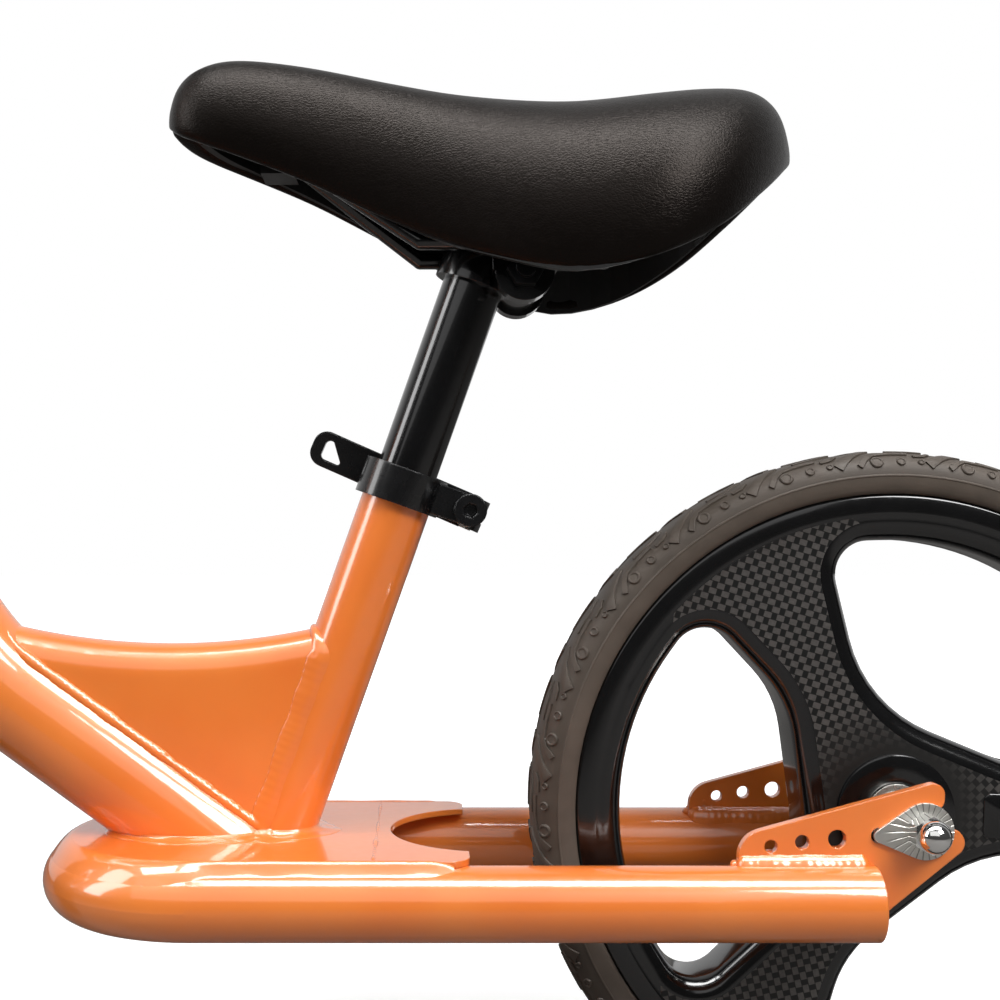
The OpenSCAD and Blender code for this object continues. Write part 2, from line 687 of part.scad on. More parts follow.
module clamp_collar(d) color(BLACK) difference() {
    union() {
        translate([0, 0, -clamp_h / 2]) cylinder(d = d + 2 * clamp_wall, h = clamp_h);
        translate([d / 2, -ear_w, -6.5]) cube([skewer_back, 2 * ear_w, 13]);
        translate([skewer_x(d), 0, 0]) cross(13, -ear_w, ear_w);
    }
    translate([0, 0, -clamp_h]) cylinder(d = d + 2 * fit, h = 2 * clamp_h);
    translate([0, -slit_w / 2, -clamp_h]) cube([d + skewer_back, slit_w, 2 * clamp_h]);
    translate([skewer_x(d), 0, 0]) cross(skewer_d + 2 * fit, -2 * ear_w, 2 * ear_w);
}

nut_l = 10.5;
module clamp_skewer(d) color(STEEL) translate([skewer_x(d), 0, 0]) {
    cross(skewer_d, -ear_w - nut_l + 3, pin_y);
    ring_y(2 * cam_r - 2, skewer_d + 2 * fit, ear_w, ear_w + cam_washer_t);
}

module clamp_cam_pin(d) color(STEEL) translate([skewer_x(d), 0, 0]) difference() {
    translate([0, pin_y, 0]) rotate([0, lever_pitch, 0]) translate([0, 0, -7.5])
        cylinder(d = cam_pin_d, h = 15);
    cross(skewer_d + 2 * fit, -ear_w, pin_y + fit);
}

module clamp_nut(d) color(BLACK) translate([skewer_x(d), 0, 0]) difference() {
    cross(round_nut_d, -ear_w - 0.3 - nut_l, -ear_w - 0.3);
    cross(skewer_d + 2 * slide, -ear_w - nut_l + 3 - run, 0);
    translate([0, -ear_w - 0.2 - nut_l + 2.5, 0]) rotate([90, 0, 0]) cylinder(d = 6, h = 6, $fn = 6);
}

// The lever lies along -X when closed; its forked cam turns on the pin at the origin
lever_bow = 140;
lever_reach = 30;                        // further across than any part of the lever
module clamp_lever(d) color(BLACK) translate([skewer_x(d), pin_y, 0]) rotate([0, lever_pitch, 0])
difference() {
    union() {
        intersection() {
            translate([-38, -1 - lever_bow, -lever_w / 2]) difference() {
                cylinder(r = lever_bow + lever_t, h = lever_w, $fn = 256);
                translate([0, 0, -1]) cylinder(r = lever_bow, h = lever_w + 2, $fn = 256);
            }
            plate_xz(outline([[-lever_l, -lever_w / 2, 6], [-1, -lever_w / 2, 0],
                [-1, lever_w / 2, 0], [-lever_l, lever_w / 2, 6]]), -lever_reach, lever_reach);
        }
        translate([0, -cam_throw, -7]) cylinder(r = cam_r, h = 14);
    }
    translate([-cam_r - 2, -cam_r - 2, -skewer_d / 2 - run])
        cube([2 * cam_r + 4, 2 * cam_r + 4, skewer_d + 2 * run]);
    translate([0, 0, -lever_w]) cylinder(d = cam_pin_d + 2 * slide, h = 2 * lever_w);
    plate_xz(outline([[5 - lever_l, 4.3, 2], [5 - lever_l, -4.3, 2], [15 - lever_l, -4.3, 1],
        [8 - lever_l, 4.3, 1]]), -lever_reach, lever_reach);
}

module at_seat_clamp() on_seat_axis(seat_clamp_u) children();
module at_bar_clamp() on_steer_axis(bar_clamp_s) children();
module seat_clamp_collar() at_seat_clamp() clamp_collar(seat_tube_od);
module seat_clamp_skewer() at_seat_clamp() clamp_skewer(seat_tube_od);
module seat_clamp_cam_pin() at_seat_clamp() clamp_cam_pin(seat_tube_od);
module seat_clamp_nut() at_seat_clamp() clamp_nut(seat_tube_od);
module seat_clamp_lever() at_seat_clamp() clamp_lever(seat_tube_od);
module bar_clamp_collar() at_bar_clamp() clamp_collar(steerer_od);
module bar_clamp_skewer() at_bar_clamp() clamp_skewer(steerer_od);
module bar_clamp_cam_pin() at_bar_clamp() clamp_cam_pin(steerer_od);
module bar_clamp_nut() at_bar_clamp() clamp_nut(steerer_od);
module bar_clamp_lever() at_bar_clamp() clamp_lever(steerer_od);

// ---- handlebar ----

module stem_tube() color(PAINT) difference() {
    on_steer_axis(steerer_top - stem_in) tube(stem_od, stem_od - 2 * bar_wall, stem_in + stem_up);
    on_steer_axis(bar_s) cross(bar_od + 2 * fit, -stem_od, stem_od);
}

// The raised plane of the handlebar, with its left half along -Y
module on_bar() on_steer_axis(bar_s) rotate([0, bar_lean, 0]) children();

module handlebar_tube() color(BLACK) on_bar() both_sides() rotate([90, 0, 0])
    bent_tube(bar_od, bar_wall, bar_path);

module grip() {
    bar_r = bar_od / 2 + fit;
    g = grip_d / 2;
    bulb = grip_end_d / 2;
    rotate([90, 0, 0]) translate([0, bar_up, bar_w / 2]) rotate_extrude() polygon(outline([
        [bar_r, -grip_l, 0], [g + 3, -grip_l, 1.5], [g + 3, 4 - grip_l, 1.5],
        [g, 6 - grip_l, 2], [g, -16, 3], [bulb, -11, 4], [bulb, 4, 6], [0, 4, 0], [0, fit, 0],
        [bar_r, fit, 0]]));
}
module grip_left() color(BLACK) on_bar() grip();
module grip_right() color(BLACK) on_bar() mirror([0, 1, 0]) grip();

// ---- seat post and saddle ----

module seat_post() color(BLACK) on_seat_axis(seat_tube_l - post_in)
    tube(post_od, post_od - 2 * post_wall, post_in + post_up);

boss_w = 17;
clamp_bolt_d = 8;
module at_bolt() on_seat_axis(bolt_u) translate([bolt_back, 0, 0]) children();

module saddle_clamp_ring() color(BLACK) difference() {
    union() {
        on_seat_axis(bolt_u - clamp_ring_h / 2) cylinder(d = post_od + 7.5, h = clamp_ring_h);
        at_bolt() cross(20, -boss_w, boss_w);
    }
    on_seat_axis(bolt_u - 20) cylinder(d = post_od + 2 * fit, h = 40);
    at_bolt() cross(clamp_bolt_d + 2 * fit, -20, 20);
}

plate_y0 = boss_w + 0.3;
plate_y1 = rail_gauge / 2 + rail_d / 2 + 1.5;
module saddle_clamp_plates() color(BLACK) on_saddle() both_sides() difference() {
    union() {
        cross(24, plate_y0, plate_y1);
        translate([-13, plate_y0, 0]) cube([26, plate_y1 - plate_y0, rail_up + 4.5]);
    }
    cross(clamp_bolt_d + 2 * slide, 0, plate_y1 + 1);
    translate([-20, rail_gauge / 2, rail_up]) rotate([0, 90, 0])
        cylinder(d = rail_d + 2 * fit, h = 40);
}

module saddle_clamp_bolt() color(STEEL) on_saddle() {
    cross(clamp_bolt_d, -plate_y1 - 9, plate_y1 + 9);
    both_sides() difference() {
        translate([0, plate_y1 + 0.3, 0]) rotate([-90, 0, 0])
            cylinder(d = 13 / cos(30), h = 6.5, $fn = 6);
        cross(clamp_bolt_d + 2 * fit, 0, plate_y1 + 8);
    }
}

// Saddle stations from the nose back: [distance, crown, lip, half width], heights over the bolt
stations = [[0, 70, 60, 5], [5, 81, 57, 14], [14, 88, 53, 20.5], [30, 91, 47, 25],
    [59, 88, 35, 28], [105, 78, 13, 38], [139, 73, 1, 53], [168, 71, -5.5, 64.5],
    [199, 73, 0, 66.5], [224, 75, 12.5, 57], [244, 76, 27, 43], [257, 67, 40, 24],
    [262, 55, 47, 8]];
last = len(stations) - 1;
stretch = saddle_l / stations[last][0];  // the stations' own sizes to the named ones
widen = saddle_w / 2 / max([for (s = stations) s[3]]);
rise = saddle_h / max([for (s = stations) s[1]]);
round_p = 0.8;                           // below 1 fills the saddle's shoulders
lip_t = 7;
shell_t = 3;
soft_gap = 0.3;

// A station at t stations from the nose, on a smooth curve through its neighbours
function station(t) =
    let (i = min(last - 1, floor(t)), f = t - i, a = stations[max(0, i - 1)],
         b = stations[i], c = stations[i + 1], d = stations[min(last, i + 2)])
    0.5 * (2 * b + (c - a) * f + (2 * a - 5 * b + 4 * c - d) * f * f
        + (3 * b - a - 3 * c + d) * f * f * f);

// One arch across the saddle, set in by a skin: [at the ends, at the lip, at the crown]
function arch(t, skin) =
    let (s = station(t), least = 4 - skin[0] / 5,
         x = skin[0] + s[0] * stretch * (saddle_l - 2 * skin[0]) / saddle_l - saddle_nose,
         w = max(least, s[3] * widen - skin[1]), h = max(least, (s[1] - s[2]) * rise - skin[2]))
    [for (i = [0 : 14]) let (a = 180 * i / 14) [x,
        w * sign(cos(a)) * pow(abs(cos(a)), round_p), s[2] * rise + h * pow(sin(a), round_p)]];

function ceiling(t, y, skin) = lookup(y, [for (p = arch(t, skin)) [p[1], p[2]]]);

// A closed skin between an outer and an inner set of arches
module skin_solid(outer, inner) {
    n = 3 * last;                        // spans along the saddle
    m = 15;                              // points on an arch
    up = (n + 1) * m;                    // first point of the outer set
    points = [for (set = [inner, outer]) for (i = [0 : n]) each arch(i / 3, set)];
    function q(a, b, c, d) = [[a, b, c], [a, c, d]];
    faces = concat(
        [for (i = [0 : n - 1]) for (j = [0 : m - 2]) let (p = i * m + j)
            each q(p, p + 1, p + m + 1, p + m)],
        [for (i = [0 : n - 1]) for (j = [0 : m - 2]) let (p = up + i * m + j)
            each q(p, p + m, p + m + 1, p + 1)],
        [for (i = [0 : n - 1]) let (p = i * m) each q(p, p + m, up + p + m, up + p)],
        [for (i = [0 : n - 1]) let (p = i * m + m - 1) each q(p, up + p, up + p + m, p + m)],
        [[for (j = [m - 1 : -1 : 0]) j]], [[for (j = [0 : m - 1]) up + j]],
        [[for (j = [0 : m - 1]) n * m + j]], [[for (j = [m - 1 : -1 : 0]) up + n * m + j]],
        q(0, up, up + m - 1, m - 1),
        q(n * m, n * m + m - 1, up + n * m + m - 1, up + n * m));
    polyhedron(points, faces, convexity = 6);
}

pad_in = [9, lip_t, pad_t];
shell_out = pad_in + [1, 1, 1] * soft_gap;
shell_in = shell_out + [1, 1, 1] * shell_t;

module saddle_cover() color(BLACK) on_saddle() skin_solid([0, 0, 0], pad_in);

// Sockets under the shell hold the rails: [front, length, side, width, bottom, station]
nose_socket = [39 * stretch - saddle_nose, 14, -10, 20, 43 * rise, 11 / 3];
tail_socket = [213 * stretch - saddle_nose, 14, rail_gauge / 2 - 6, 12, 33 * rise, 29 / 3];
module socket(s) translate([s[0], s[2], s[4]])
    cube([s[1], s[3], ceiling(s[5], abs(s[2] + s[3]), shell_in) + 1.5 - s[4]]);

module saddle_shell() color(BLACK) on_saddle() {
    skin_solid(shell_out, shell_in);
    socket(nose_socket);
    both_sides() socket(tail_socket);
}

// A wire of straight lengths with round elbows
module wire(d, points) for (i = [0 : len(points) - 2]) {
    v = points[i + 1] - points[i];
    translate(points[i]) rotate([0, acos(v[2] / norm(v)), atan2(v[1], v[0])])
        cylinder(d = d, h = norm(v));
    if (i > 0) translate(points[i]) sphere(d = d + 2 * swell);
}

module saddle_rails() color(STEEL) on_saddle() both_sides() difference() {
    wire(rail_d, [[nose_socket[0] + nose_socket[1] - 6, 4, 54 * rise],
        [-42, rail_gauge / 2, rail_up], [38, rail_gauge / 2, rail_up],
        [tail_socket[0] + 6, rail_gauge / 2, 46 * rise]]);
    translate([nose_socket[0], -50, -50]) cube([nose_socket[1] + fit, 100, 150]);
    translate([tail_socket[0] - fit, -50, -50]) cube([50, 100, 150]);
}

head_tube();
main_tube();
gusset_box();
seat_tube();
footrest_tube();
footrest_plate_front();
footrest_plate_rear();
dropout_left();
dropout_right();
footrest_end_caps();
headset_cup_upper();
headset_cup_lower();
rear_axle();
rear_axle_nuts();
rear_tab_washers();
rear_axle_spacers();
rear_bearing_inner_rings();
seat_clamp_collar();
seat_clamp_skewer();
seat_clamp_cam_pin();
seat_clamp_nut();
seat_clamp_lever();
seat_post();
saddle_clamp_ring();
saddle_clamp_bolt();
saddle_clamp_plates();
saddle_rails();
saddle_shell();
saddle_cover();
steerer_tube();
fork_blade_left();
fork_blade_right();
fork_dropout_left();
fork_dropout_right();
front_axle();
front_axle_nuts();
front_tab_washers();
front_axle_spacers();
front_bearing_inner_rings();
headset_crown_race();
headset_top_race();
headset_locknut();
headset_balls();
bar_clamp_collar();
bar_clamp_skewer();
bar_clamp_cam_pin();
bar_clamp_nut();
bar_clamp_lever();
stem_tube();
handlebar_tube();
grip_left();
grip_right();
front_tyre();
front_rim();
front_bearing_outer_rings();
front_bearing_balls();
rear_tyre();
rear_rim();
rear_bearing_outer_rings();
rear_bearing_balls();
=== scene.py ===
import json
import math

import bmesh
import bpy
from mathutils import Matrix, Vector, noise as field
from mathutils.geometry import delaunay_2d_cdt


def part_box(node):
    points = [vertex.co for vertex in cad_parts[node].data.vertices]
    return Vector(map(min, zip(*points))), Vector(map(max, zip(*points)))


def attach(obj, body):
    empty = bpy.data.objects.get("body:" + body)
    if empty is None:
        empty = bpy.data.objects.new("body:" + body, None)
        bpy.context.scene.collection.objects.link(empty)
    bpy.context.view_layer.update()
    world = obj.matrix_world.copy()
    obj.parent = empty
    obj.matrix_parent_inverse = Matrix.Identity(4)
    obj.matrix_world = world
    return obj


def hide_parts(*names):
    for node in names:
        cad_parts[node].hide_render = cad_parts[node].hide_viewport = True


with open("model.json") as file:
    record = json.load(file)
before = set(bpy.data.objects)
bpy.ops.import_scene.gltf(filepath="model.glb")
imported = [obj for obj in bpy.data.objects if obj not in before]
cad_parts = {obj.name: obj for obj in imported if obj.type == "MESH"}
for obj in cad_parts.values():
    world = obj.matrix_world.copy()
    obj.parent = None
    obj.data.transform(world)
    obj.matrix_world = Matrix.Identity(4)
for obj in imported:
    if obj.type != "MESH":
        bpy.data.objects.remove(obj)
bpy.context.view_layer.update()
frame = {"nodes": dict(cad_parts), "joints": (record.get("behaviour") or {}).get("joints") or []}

# A small child's balance bike: orange welded tubes, black moulded wheels, black saddle. The front
# points along -X and the left side, which the camera faces, along -Y. Lengths are in metres.

# ---- Frame paint ----
# The frame, the fork and the stem are bent and welded steel tubes and plates, powder coated in
# one warm orange.

MM = 0.001


def rgb(code):
    """Linear colour of an sRGB hex code."""
    parts = [int(code[i:i + 2], 16) / 255 for i in (1, 3, 5)]
    return tuple(c / 12.92 if c < 0.04045 else ((c + 0.055) / 1.055) ** 2.4 for c in parts) + (1,)


def fill(tree, node, inputs):
    """Gives a node's sockets their values, or links them to other nodes' outputs."""
    for name, value in dict(inputs).items():
        if isinstance(value, bpy.types.NodeSocket):
            tree.links.new(value, node.inputs[name])
        else:
            node.inputs[name].default_value = value


def add(tree, kind, inputs=(), **settings):
    """Adds a node with its settings, values and links, and returns its outputs."""
    node = tree.nodes.new("ShaderNode" + kind)
    for name, value in settings.items():
        setattr(node, name, value)
    fill(tree, node, inputs)
    return node.outputs


def new_material(name):
    """A new material with its tree and its shader."""
    mat = bpy.data.materials.new(name)
    mat.use_nodes = True
    return mat, mat.node_tree, mat.node_tree.nodes["Principled BSDF"]


def plain_finish(name, tones, cloud, gloss, spread=(0, 1), mist=(), grains=(), edge=0,
                 coated=False, ribs=None, **values):
    """A finish in one colour; all lengths are in millimetres. The colour drifts between two
    tones in clouds (size, detail), spread over a range, and the roughness between the two of
    gloss, in the same clouds or in a mist [(size, detail)]. Grains (size, detail, depth, strength)
    lie over edges rounded by edge, and over ribs, a function that gives their height, depth and
    strength; a third tone is painted shade, laid darker in the grooves between the ribs. Coated
    puts it all on the clear coat too."""
    mat, tree, shader = new_material(name)
    point = add(tree, "TexCoord")["Object"]
    drift, *heights = [
        add(tree, "TexNoise", {"Vector": point, "Scale": 1 / (size * MM), "Detail": detail})["Fac"]
        for size, detail, *_ in (cloud, *grains, *mist)]
    drift = add(tree, "MapRange", {"Value": drift, "From Min": spread[0],
                                   "From Max": spread[1]})["Result"]
    colour = add(tree, "Mix", {0: drift, 6: rgb(tones[0]), 7: rgb(tones[1])},
                 data_type="RGBA")[2]
    rough = add(tree, "MapRange", {"Value": heights[-1] if mist else drift,
                                   "To Min": gloss[0], "To Max": gloss[1]})["Result"]
    layers = [(height, *grain[2:]) for height, grain in zip(heights, grains)]
    if ribs:
        layers.insert(0, ribs(tree, point))
    # Where a third tone is given, it is painted shade: it darkens the low parts of the ribs.
    if len(tones) > 2:
        colour = add(tree, "Mix", {0: layers[0][0], 6: rgb(tones[2]), 7: colour},
                     data_type="RGBA")[2]
    under = {}
    if edge:
        under["Normal"] = add(tree, "Bevel", {"Radius": edge * MM}, samples=4)["Normal"]
    for height, depth, strength in layers:
        under["Normal"] = add(tree, "Bump", {"Height": height, "Distance": depth * MM,
                                             "Strength": strength, **under})["Normal"]
    if coated:
        under["Coat Normal"] = under["Normal"]
    values = {key.replace("_", " "): value for key, value in values.items()}
    fill(tree, shader, {"Base Color": colour, "Roughness": rough, **under, **values})
    return mat


def paint(mat, *nodes):
    """Gives CAD nodes a material."""
    for name in nodes:
        slots = frame["nodes"][name].data.materials
        slots.clear()
        slots.append(mat)


# Powder coat: a wet gloss over a faint drift of tone, with the slow waves and the fine orange
# peel that a baked coat dries with. Its soft edges are the coat's own thickness.
orange = plain_finish("powder_coat_orange", ("#ea782a", "#f18434"), (60, 2), (0.3, 0.38),
                      spread=(0.35, 0.65), mist=[(3.5, 1)],
                      grains=[(14, 1, 0.4, 0.25), (3.5, 1, 0.05, 0.35)], edge=0.9, coated=True,
                      Coat_Weight=1, Coat_Roughness=0.06, Coat_IOR=1.62)
paint(orange, "head_tube", "main_tube", "seat_tube", "footrest_tube",
      "footrest_plate_front", "footrest_plate_rear", "dropout_left", "dropout_right",
      "footrest_end_caps", "steerer_tube", "fork_blade_left", "fork_blade_right",
      "fork_dropout_left", "fork_dropout_right", "stem_tube")

# ---- Black paint ----
# The steel seat post, the handlebar, the saddle's rails and the clamp that holds them, all
# coated gloss black.

# Black lacquer: a smooth shine with a faint dust of lighter specks, drawn coarser than real
# dust so that it shows.
black_paint = plain_finish("gloss_black_coat", ("#050506", "#121213"), (1.5, 3), (0.14, 0.26),
                           spread=(0.55, 0.8), mist=[(25, 2)], grains=[(4, 1, 0.03, 0.3)],
                           edge=0.8, Coat_Weight=0.7, Coat_Roughness=0.05,
                           Specular_IOR_Level=0.35)
paint(black_paint, "seat_post", "handlebar_tube", "saddle_clamp_ring", "saddle_clamp_plates",
      "saddle_rails")

# ---- Bright steel and chrome ----
# Turned steel axles, spacers, bearings and pins, zinc plated; chromed cap nuts and headset cups;
# and tab washers with fine teeth pressed round the axle's hole.


def middle(node):
    low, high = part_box(node)
    return (Vector(low) + Vector(high)) / 2


axles = {side: middle(side + "_tyre") for side in ("rear", "front")}
TEETH = 26  # round one washer
FACE_IN, FACE_OUT = 11 * MM, 16 * MM  # the teeth run out between these radii


def washer_teeth(tree, point, axle):
    """Height of fine radial teeth round an axle, on the face only, with depth and strength; its low
    grooves also take the washer's painted shade.
    """
    spot = add(tree, "VectorMath", {0: point, 1: axle}, operation="SUBTRACT")[0]
    part = add(tree, "SeparateXYZ", {0: spot})
    turn = add(tree, "Math", {0: part["Z"], 1: part["X"]}, operation="ARCTAN2")[0]
    teeth = add(tree, "Math", {0: turn, 1: TEETH / math.tau}, operation="MULTIPLY")[0]
    teeth = add(tree, "Math", {0: teeth, 1: 0.5}, operation="PINGPONG")[0]
    groove = add(tree, "MapRange", {"Value": teeth, "From Max": 0.14})["Result"]
    flat = add(tree, "VectorMath", {0: spot, 1: (1, 0, 1)}, operation="MULTIPLY")[0]
    far = add(tree, "VectorMath", {0: flat}, operation="LENGTH")["Value"]
    fan = add(tree, "MapRange", {"Value": far, "From Min": FACE_IN, "From Max": FACE_OUT})["Result"]
    return add(tree, "Math", {0: groove, 1: fan}, operation="MAXIMUM")[0], 0.25, 0.8


# Zinc plate: a pale grey metal with cloudy patches and fine turning marks; on a washer the
# grooves between its teeth carry painted shade in a darker grey, so that the teeth show as pale
# and grey rays. Chrome: a clear mirror with a trace of haze.
# Blackened steel: dark, with a dull metal grain.
zinc = plain_finish("zinc_plated_steel", ("#b4b3ad", "#d6d5d0"), (5, 3), (0.2, 0.38),
                    grains=[(0.5, 2, 0.02, 0.4)], edge=0.4, Metallic=1)
chrome = plain_finish("bright_chrome", ("#dcdcda", "#efefee"), (8, 3), (0.05, 0.12), Metallic=1)
blackened = plain_finish("blackened_steel", ("#2b2b2d", "#3c3c3e"), (0.8, 2), (0.25, 0.4),
                         grains=[(0.8, 2, 0.02, 0.4)], edge=0.5, Metallic=1)
for side, axle in axles.items():
    # The third tone, a darker grey, is painted shade in the grooves between the teeth.
    teeth = plain_finish("serrated_washer_" + side, ("#cfcdc7", "#e4e2dc", "#8e8b85"), (3, 3),
                         (0.26, 0.42), edge=0.4, Metallic=1,
                         ribs=lambda tree, point: washer_teeth(tree, point, axle))
    paint(teeth, side + "_tab_washers")
    paint(zinc, side + "_axle", side + "_axle_spacers", side + "_bearing_inner_rings",
          side + "_bearing_outer_rings", side + "_bearing_balls")
    paint(chrome, side + "_axle_nuts")
paint(zinc, "headset_balls", "headset_crown_race", "seat_clamp_skewer", "seat_clamp_cam_pin",
      "bar_clamp_skewer", "bar_clamp_cam_pin")
paint(chrome, "headset_cup_upper", "headset_cup_lower", "headset_top_race", "headset_locknut")
paint(blackened, "saddle_clamp_bolt")

# ---- Clamp alloy ----
# The two quick-release clamps: a slit collar, a cam lever and a round nut each, machined from
# aluminium and anodised black.

# Anodised aluminium: deep black with a satin shine and a very fine grain.
black_alloy = plain_finish("black_anodised_alloy", ("#050506", "#101011"), (0.7, 3), (0.2, 0.34),
                           mist=[(6, 2)], grains=[(0.7, 3, 0.03, 0.5)], edge=1.2,
                           Coat_Weight=0.5, Coat_Roughness=0.1, Specular_IOR_Level=0.4)
paint(black_alloy, "seat_clamp_collar", "seat_clamp_nut", "seat_clamp_lever",
      "bar_clamp_collar", "bar_clamp_nut", "bar_clamp_lever")

# ---- Grips ----
# Soft black rubber sleeves pushed on to the handlebar's ends, with fine ribs moulded round them
# between the inner flange and the outer bulb.

grip_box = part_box("grip_left")
GRIP_IN, GRIP_OUT = -grip_box[1][1], -grip_box[0][1]  # distances of its ends from the middle
FLANGE, BULB = 8 * MM, 17 * MM  # lengths without ribs at the two ends
RIB = 3.2 * MM  # from one rib to the next


def grip_ribs(tree, point):
    """Height of the ribs, which run out at the flange and the bulb, with depth and strength."""
    across = add(tree, "SeparateXYZ", {0: point})["Y"]
    reach = add(tree, "Math", {0: across}, operation="ABSOLUTE")[0]
    wave = add(tree, "Math", {0: reach, 1: RIB / 2}, operation="PINGPONG")[0]
    height = add(tree, "MapRange", {"Value": wave, "From Min": 0.5 * MM,
                                    "From Max": 1.1 * MM})["Result"]
    for start, on in ((GRIP_IN + FLANGE, MM), (GRIP_OUT - BULB, -MM)):
        ribbed = add(tree, "MapRange", {"Value": reach, "From Min": start,
                                        "From Max": start + on})["Result"]
        height = add(tree, "Math", {0: height, 1: ribbed}, operation="MULTIPLY")[0]
    return height, 0.5, 0.9


# Soft rubber: matt black and a little rough, with ribs that show as soft rings.
grip_rubber = plain_finish("ribbed_grip_rubber", ("#141414", "#1e1d1d"), (0.5, 2), (0.55, 0.7),
                           grains=[(0.5, 2, 0.04, 0.4)], edge=0.6, ribs=grip_ribs,
                           Specular_IOR_Level=0.35)
paint(grip_rubber, "grip_left", "grip_right")

# ---- Wheel discs ----
# One black moulding per wheel: three wide spokes with rounded window edges, a lip that holds the
# tyre and a raised hub disc. The flat of each spoke carries a fine woven-look check print, and
# one spoke a small blank plate.

rim_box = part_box("rear_rim")
EDGE_R = (rim_box[1][0] - rim_box[0][0]) / 2  # the rim's edge, where the tyre sits
HUB_FACE = (rim_box[1][1] - rim_box[0][1]) / 2  # half the hub's width
LIP_R = EDGE_R - 9 * MM  # inner edge of the raised lip
LIP_FACE = 16.5 * MM  # half the width over the lip
HUB_R = 24 * MM
WINDOW_R = 111 * MM  # outer edge of the windows
WINDOW_IN = 36.5 * MM  # their inner edge, from the axle
WINDOW_LEAN = math.radians(9.5)  # the inner edge leans this much
WINDOW_SIDE = math.radians(45)  # from a window's middle to its sides
WINDOW_ARC = math.radians(34)  # half the length of its round outer side
WINDOWS = [math.radians(178 + 120 * i) for i in range(3)]
EDGE_ROUND = 8 * MM  # rounding of the windows' edges
THIRD = math.radians(120)
SPOKE = WINDOWS[0] - THIRD / 2  # direction of a spoke
STEPS = 180  # segments round a wheel
GRID = 6 * MM  # spacing of the points on the spokes' flats
BARE = math.radians(39)  # the rim outside a window is left unprinted
PRINT_TURN = math.radians(135)  # direction of a spoke on its print
PITCH = 5.4 * MM  # of the light patches, both ways


def spoke_face(r):
    """Half thickness of a spoke at a distance from the axle."""
    return 18 * MM - 2 * MM * max(0.0, min(1.0, (r - HUB_R) / (WINDOW_R - HUB_R)))


def rounded(corners):
    """Points of a closed outline through corners (x, z, radius), every 7 degrees at most round a
    corner; radius 0 keeps it sharp."""
    points = []
    for i, (x, z, radius) in enumerate(corners):
        here = Vector((x, z))
        if radius == 0:
            points.append(here)
            continue
        back = (Vector(corners[i - 1][:2]) - here).normalized()
        on = (Vector(corners[(i + 1) % len(corners)][:2]) - here).normalized()
        half = back.angle(on) / 2
        centre = here + (back + on).normalized() * radius / math.sin(half)
        first = here + back * radius / math.tan(half) - centre
        last = here + on * radius / math.tan(half) - centre
        sweep = math.atan2(first.cross(last), first.dot(last))
        count = max(2, math.ceil(abs(sweep) / math.radians(7)))
        for k in range(count + 1):
            points.append(centre + Matrix.Rotation(sweep * k / count, 2) @ first)
    return points


def polar(r, angle):
    return Vector((r * math.cos(angle), r * math.sin(angle)))


def window_outline(middle_angle):
    """A wheel window round the axle at the origin, as points (x, z)."""
    h, lean = WINDOW_SIDE, math.tan(WINDOW_LEAN)
    top = WINDOW_IN / (math.cos(h) - lean * math.sin(h))
    low = WINDOW_IN / (math.cos(h) + lean * math.sin(h))
    out = WINDOW_R / math.cos(h - WINDOW_ARC)
    arc = [(WINDOW_R, WINDOW_ARC * (k / 12 - 1), 0) for k in range(25)]
    ends = [(top, -h, 45 * MM), (out, -h, 14 * MM)] + arc + [(out, h, 14 * MM), (low, h, 55 * MM)]
    return rounded([(*polar(r, a + middle_angle), radius) for r, a, radius in ends])


def offset(points, distance):
    """A convex outline moved outwards by a distance."""
    moved = []
    for i, point in enumerate(points):
        along = (points[(i + 1) % len(points)] - points[i - 1]).normalized()
        moved.append(point + Vector((along.y, -along.x)) * distance)
    return moved


def inside(points, x, z):
    """True if (x, z) lies inside a closed outline."""
    hit = False
    for a, b in zip(points, points[1:] + points[:1]):
        if (a.y > z) != (b.y > z) and x < (b.x - a.x) * (z - a.y) / (b.y - a.y) + a.x:
            hit = not hit
    return hit


def lathe(form, profile):
    """Turns an open profile of (radius, y) about the Y axis into a closed ring of faces."""
    verts = [form.verts.new((r, y, 0)) for r, y in profile]
    edges = [form.edges.new(pair) for pair in zip(verts, verts[1:])]
    bmesh.ops.spin(form, geom=verts + edges, cent=(0, 0, 0), axis=(0, 1, 0),
                   angle=math.tau, steps=STEPS, use_merge=True)


def skin(form, rows, ends=()):
    """Faces that join closed rows of vertices, each to the next, and fill the rows at ends."""
    for one, two in zip(rows, rows[1:]):
        for k in range(len(one)):
            on = (k + 1) % len(one)
            form.faces.new((one[k], one[on], two[on], two[k]))
    for k in ends:
        form.faces.new(rows[k])


def mirrored(form, gap):
    """Closes seams narrower than gap and adds the other side of the bike's middle plane."""
    bmesh.ops.remove_doubles(form, verts=form.verts, dist=gap)
    bmesh.ops.mirror(form, geom=form.verts[:] + form.edges[:] + form.faces[:],
                     axis="Y", merge_dist=gap)
    return form


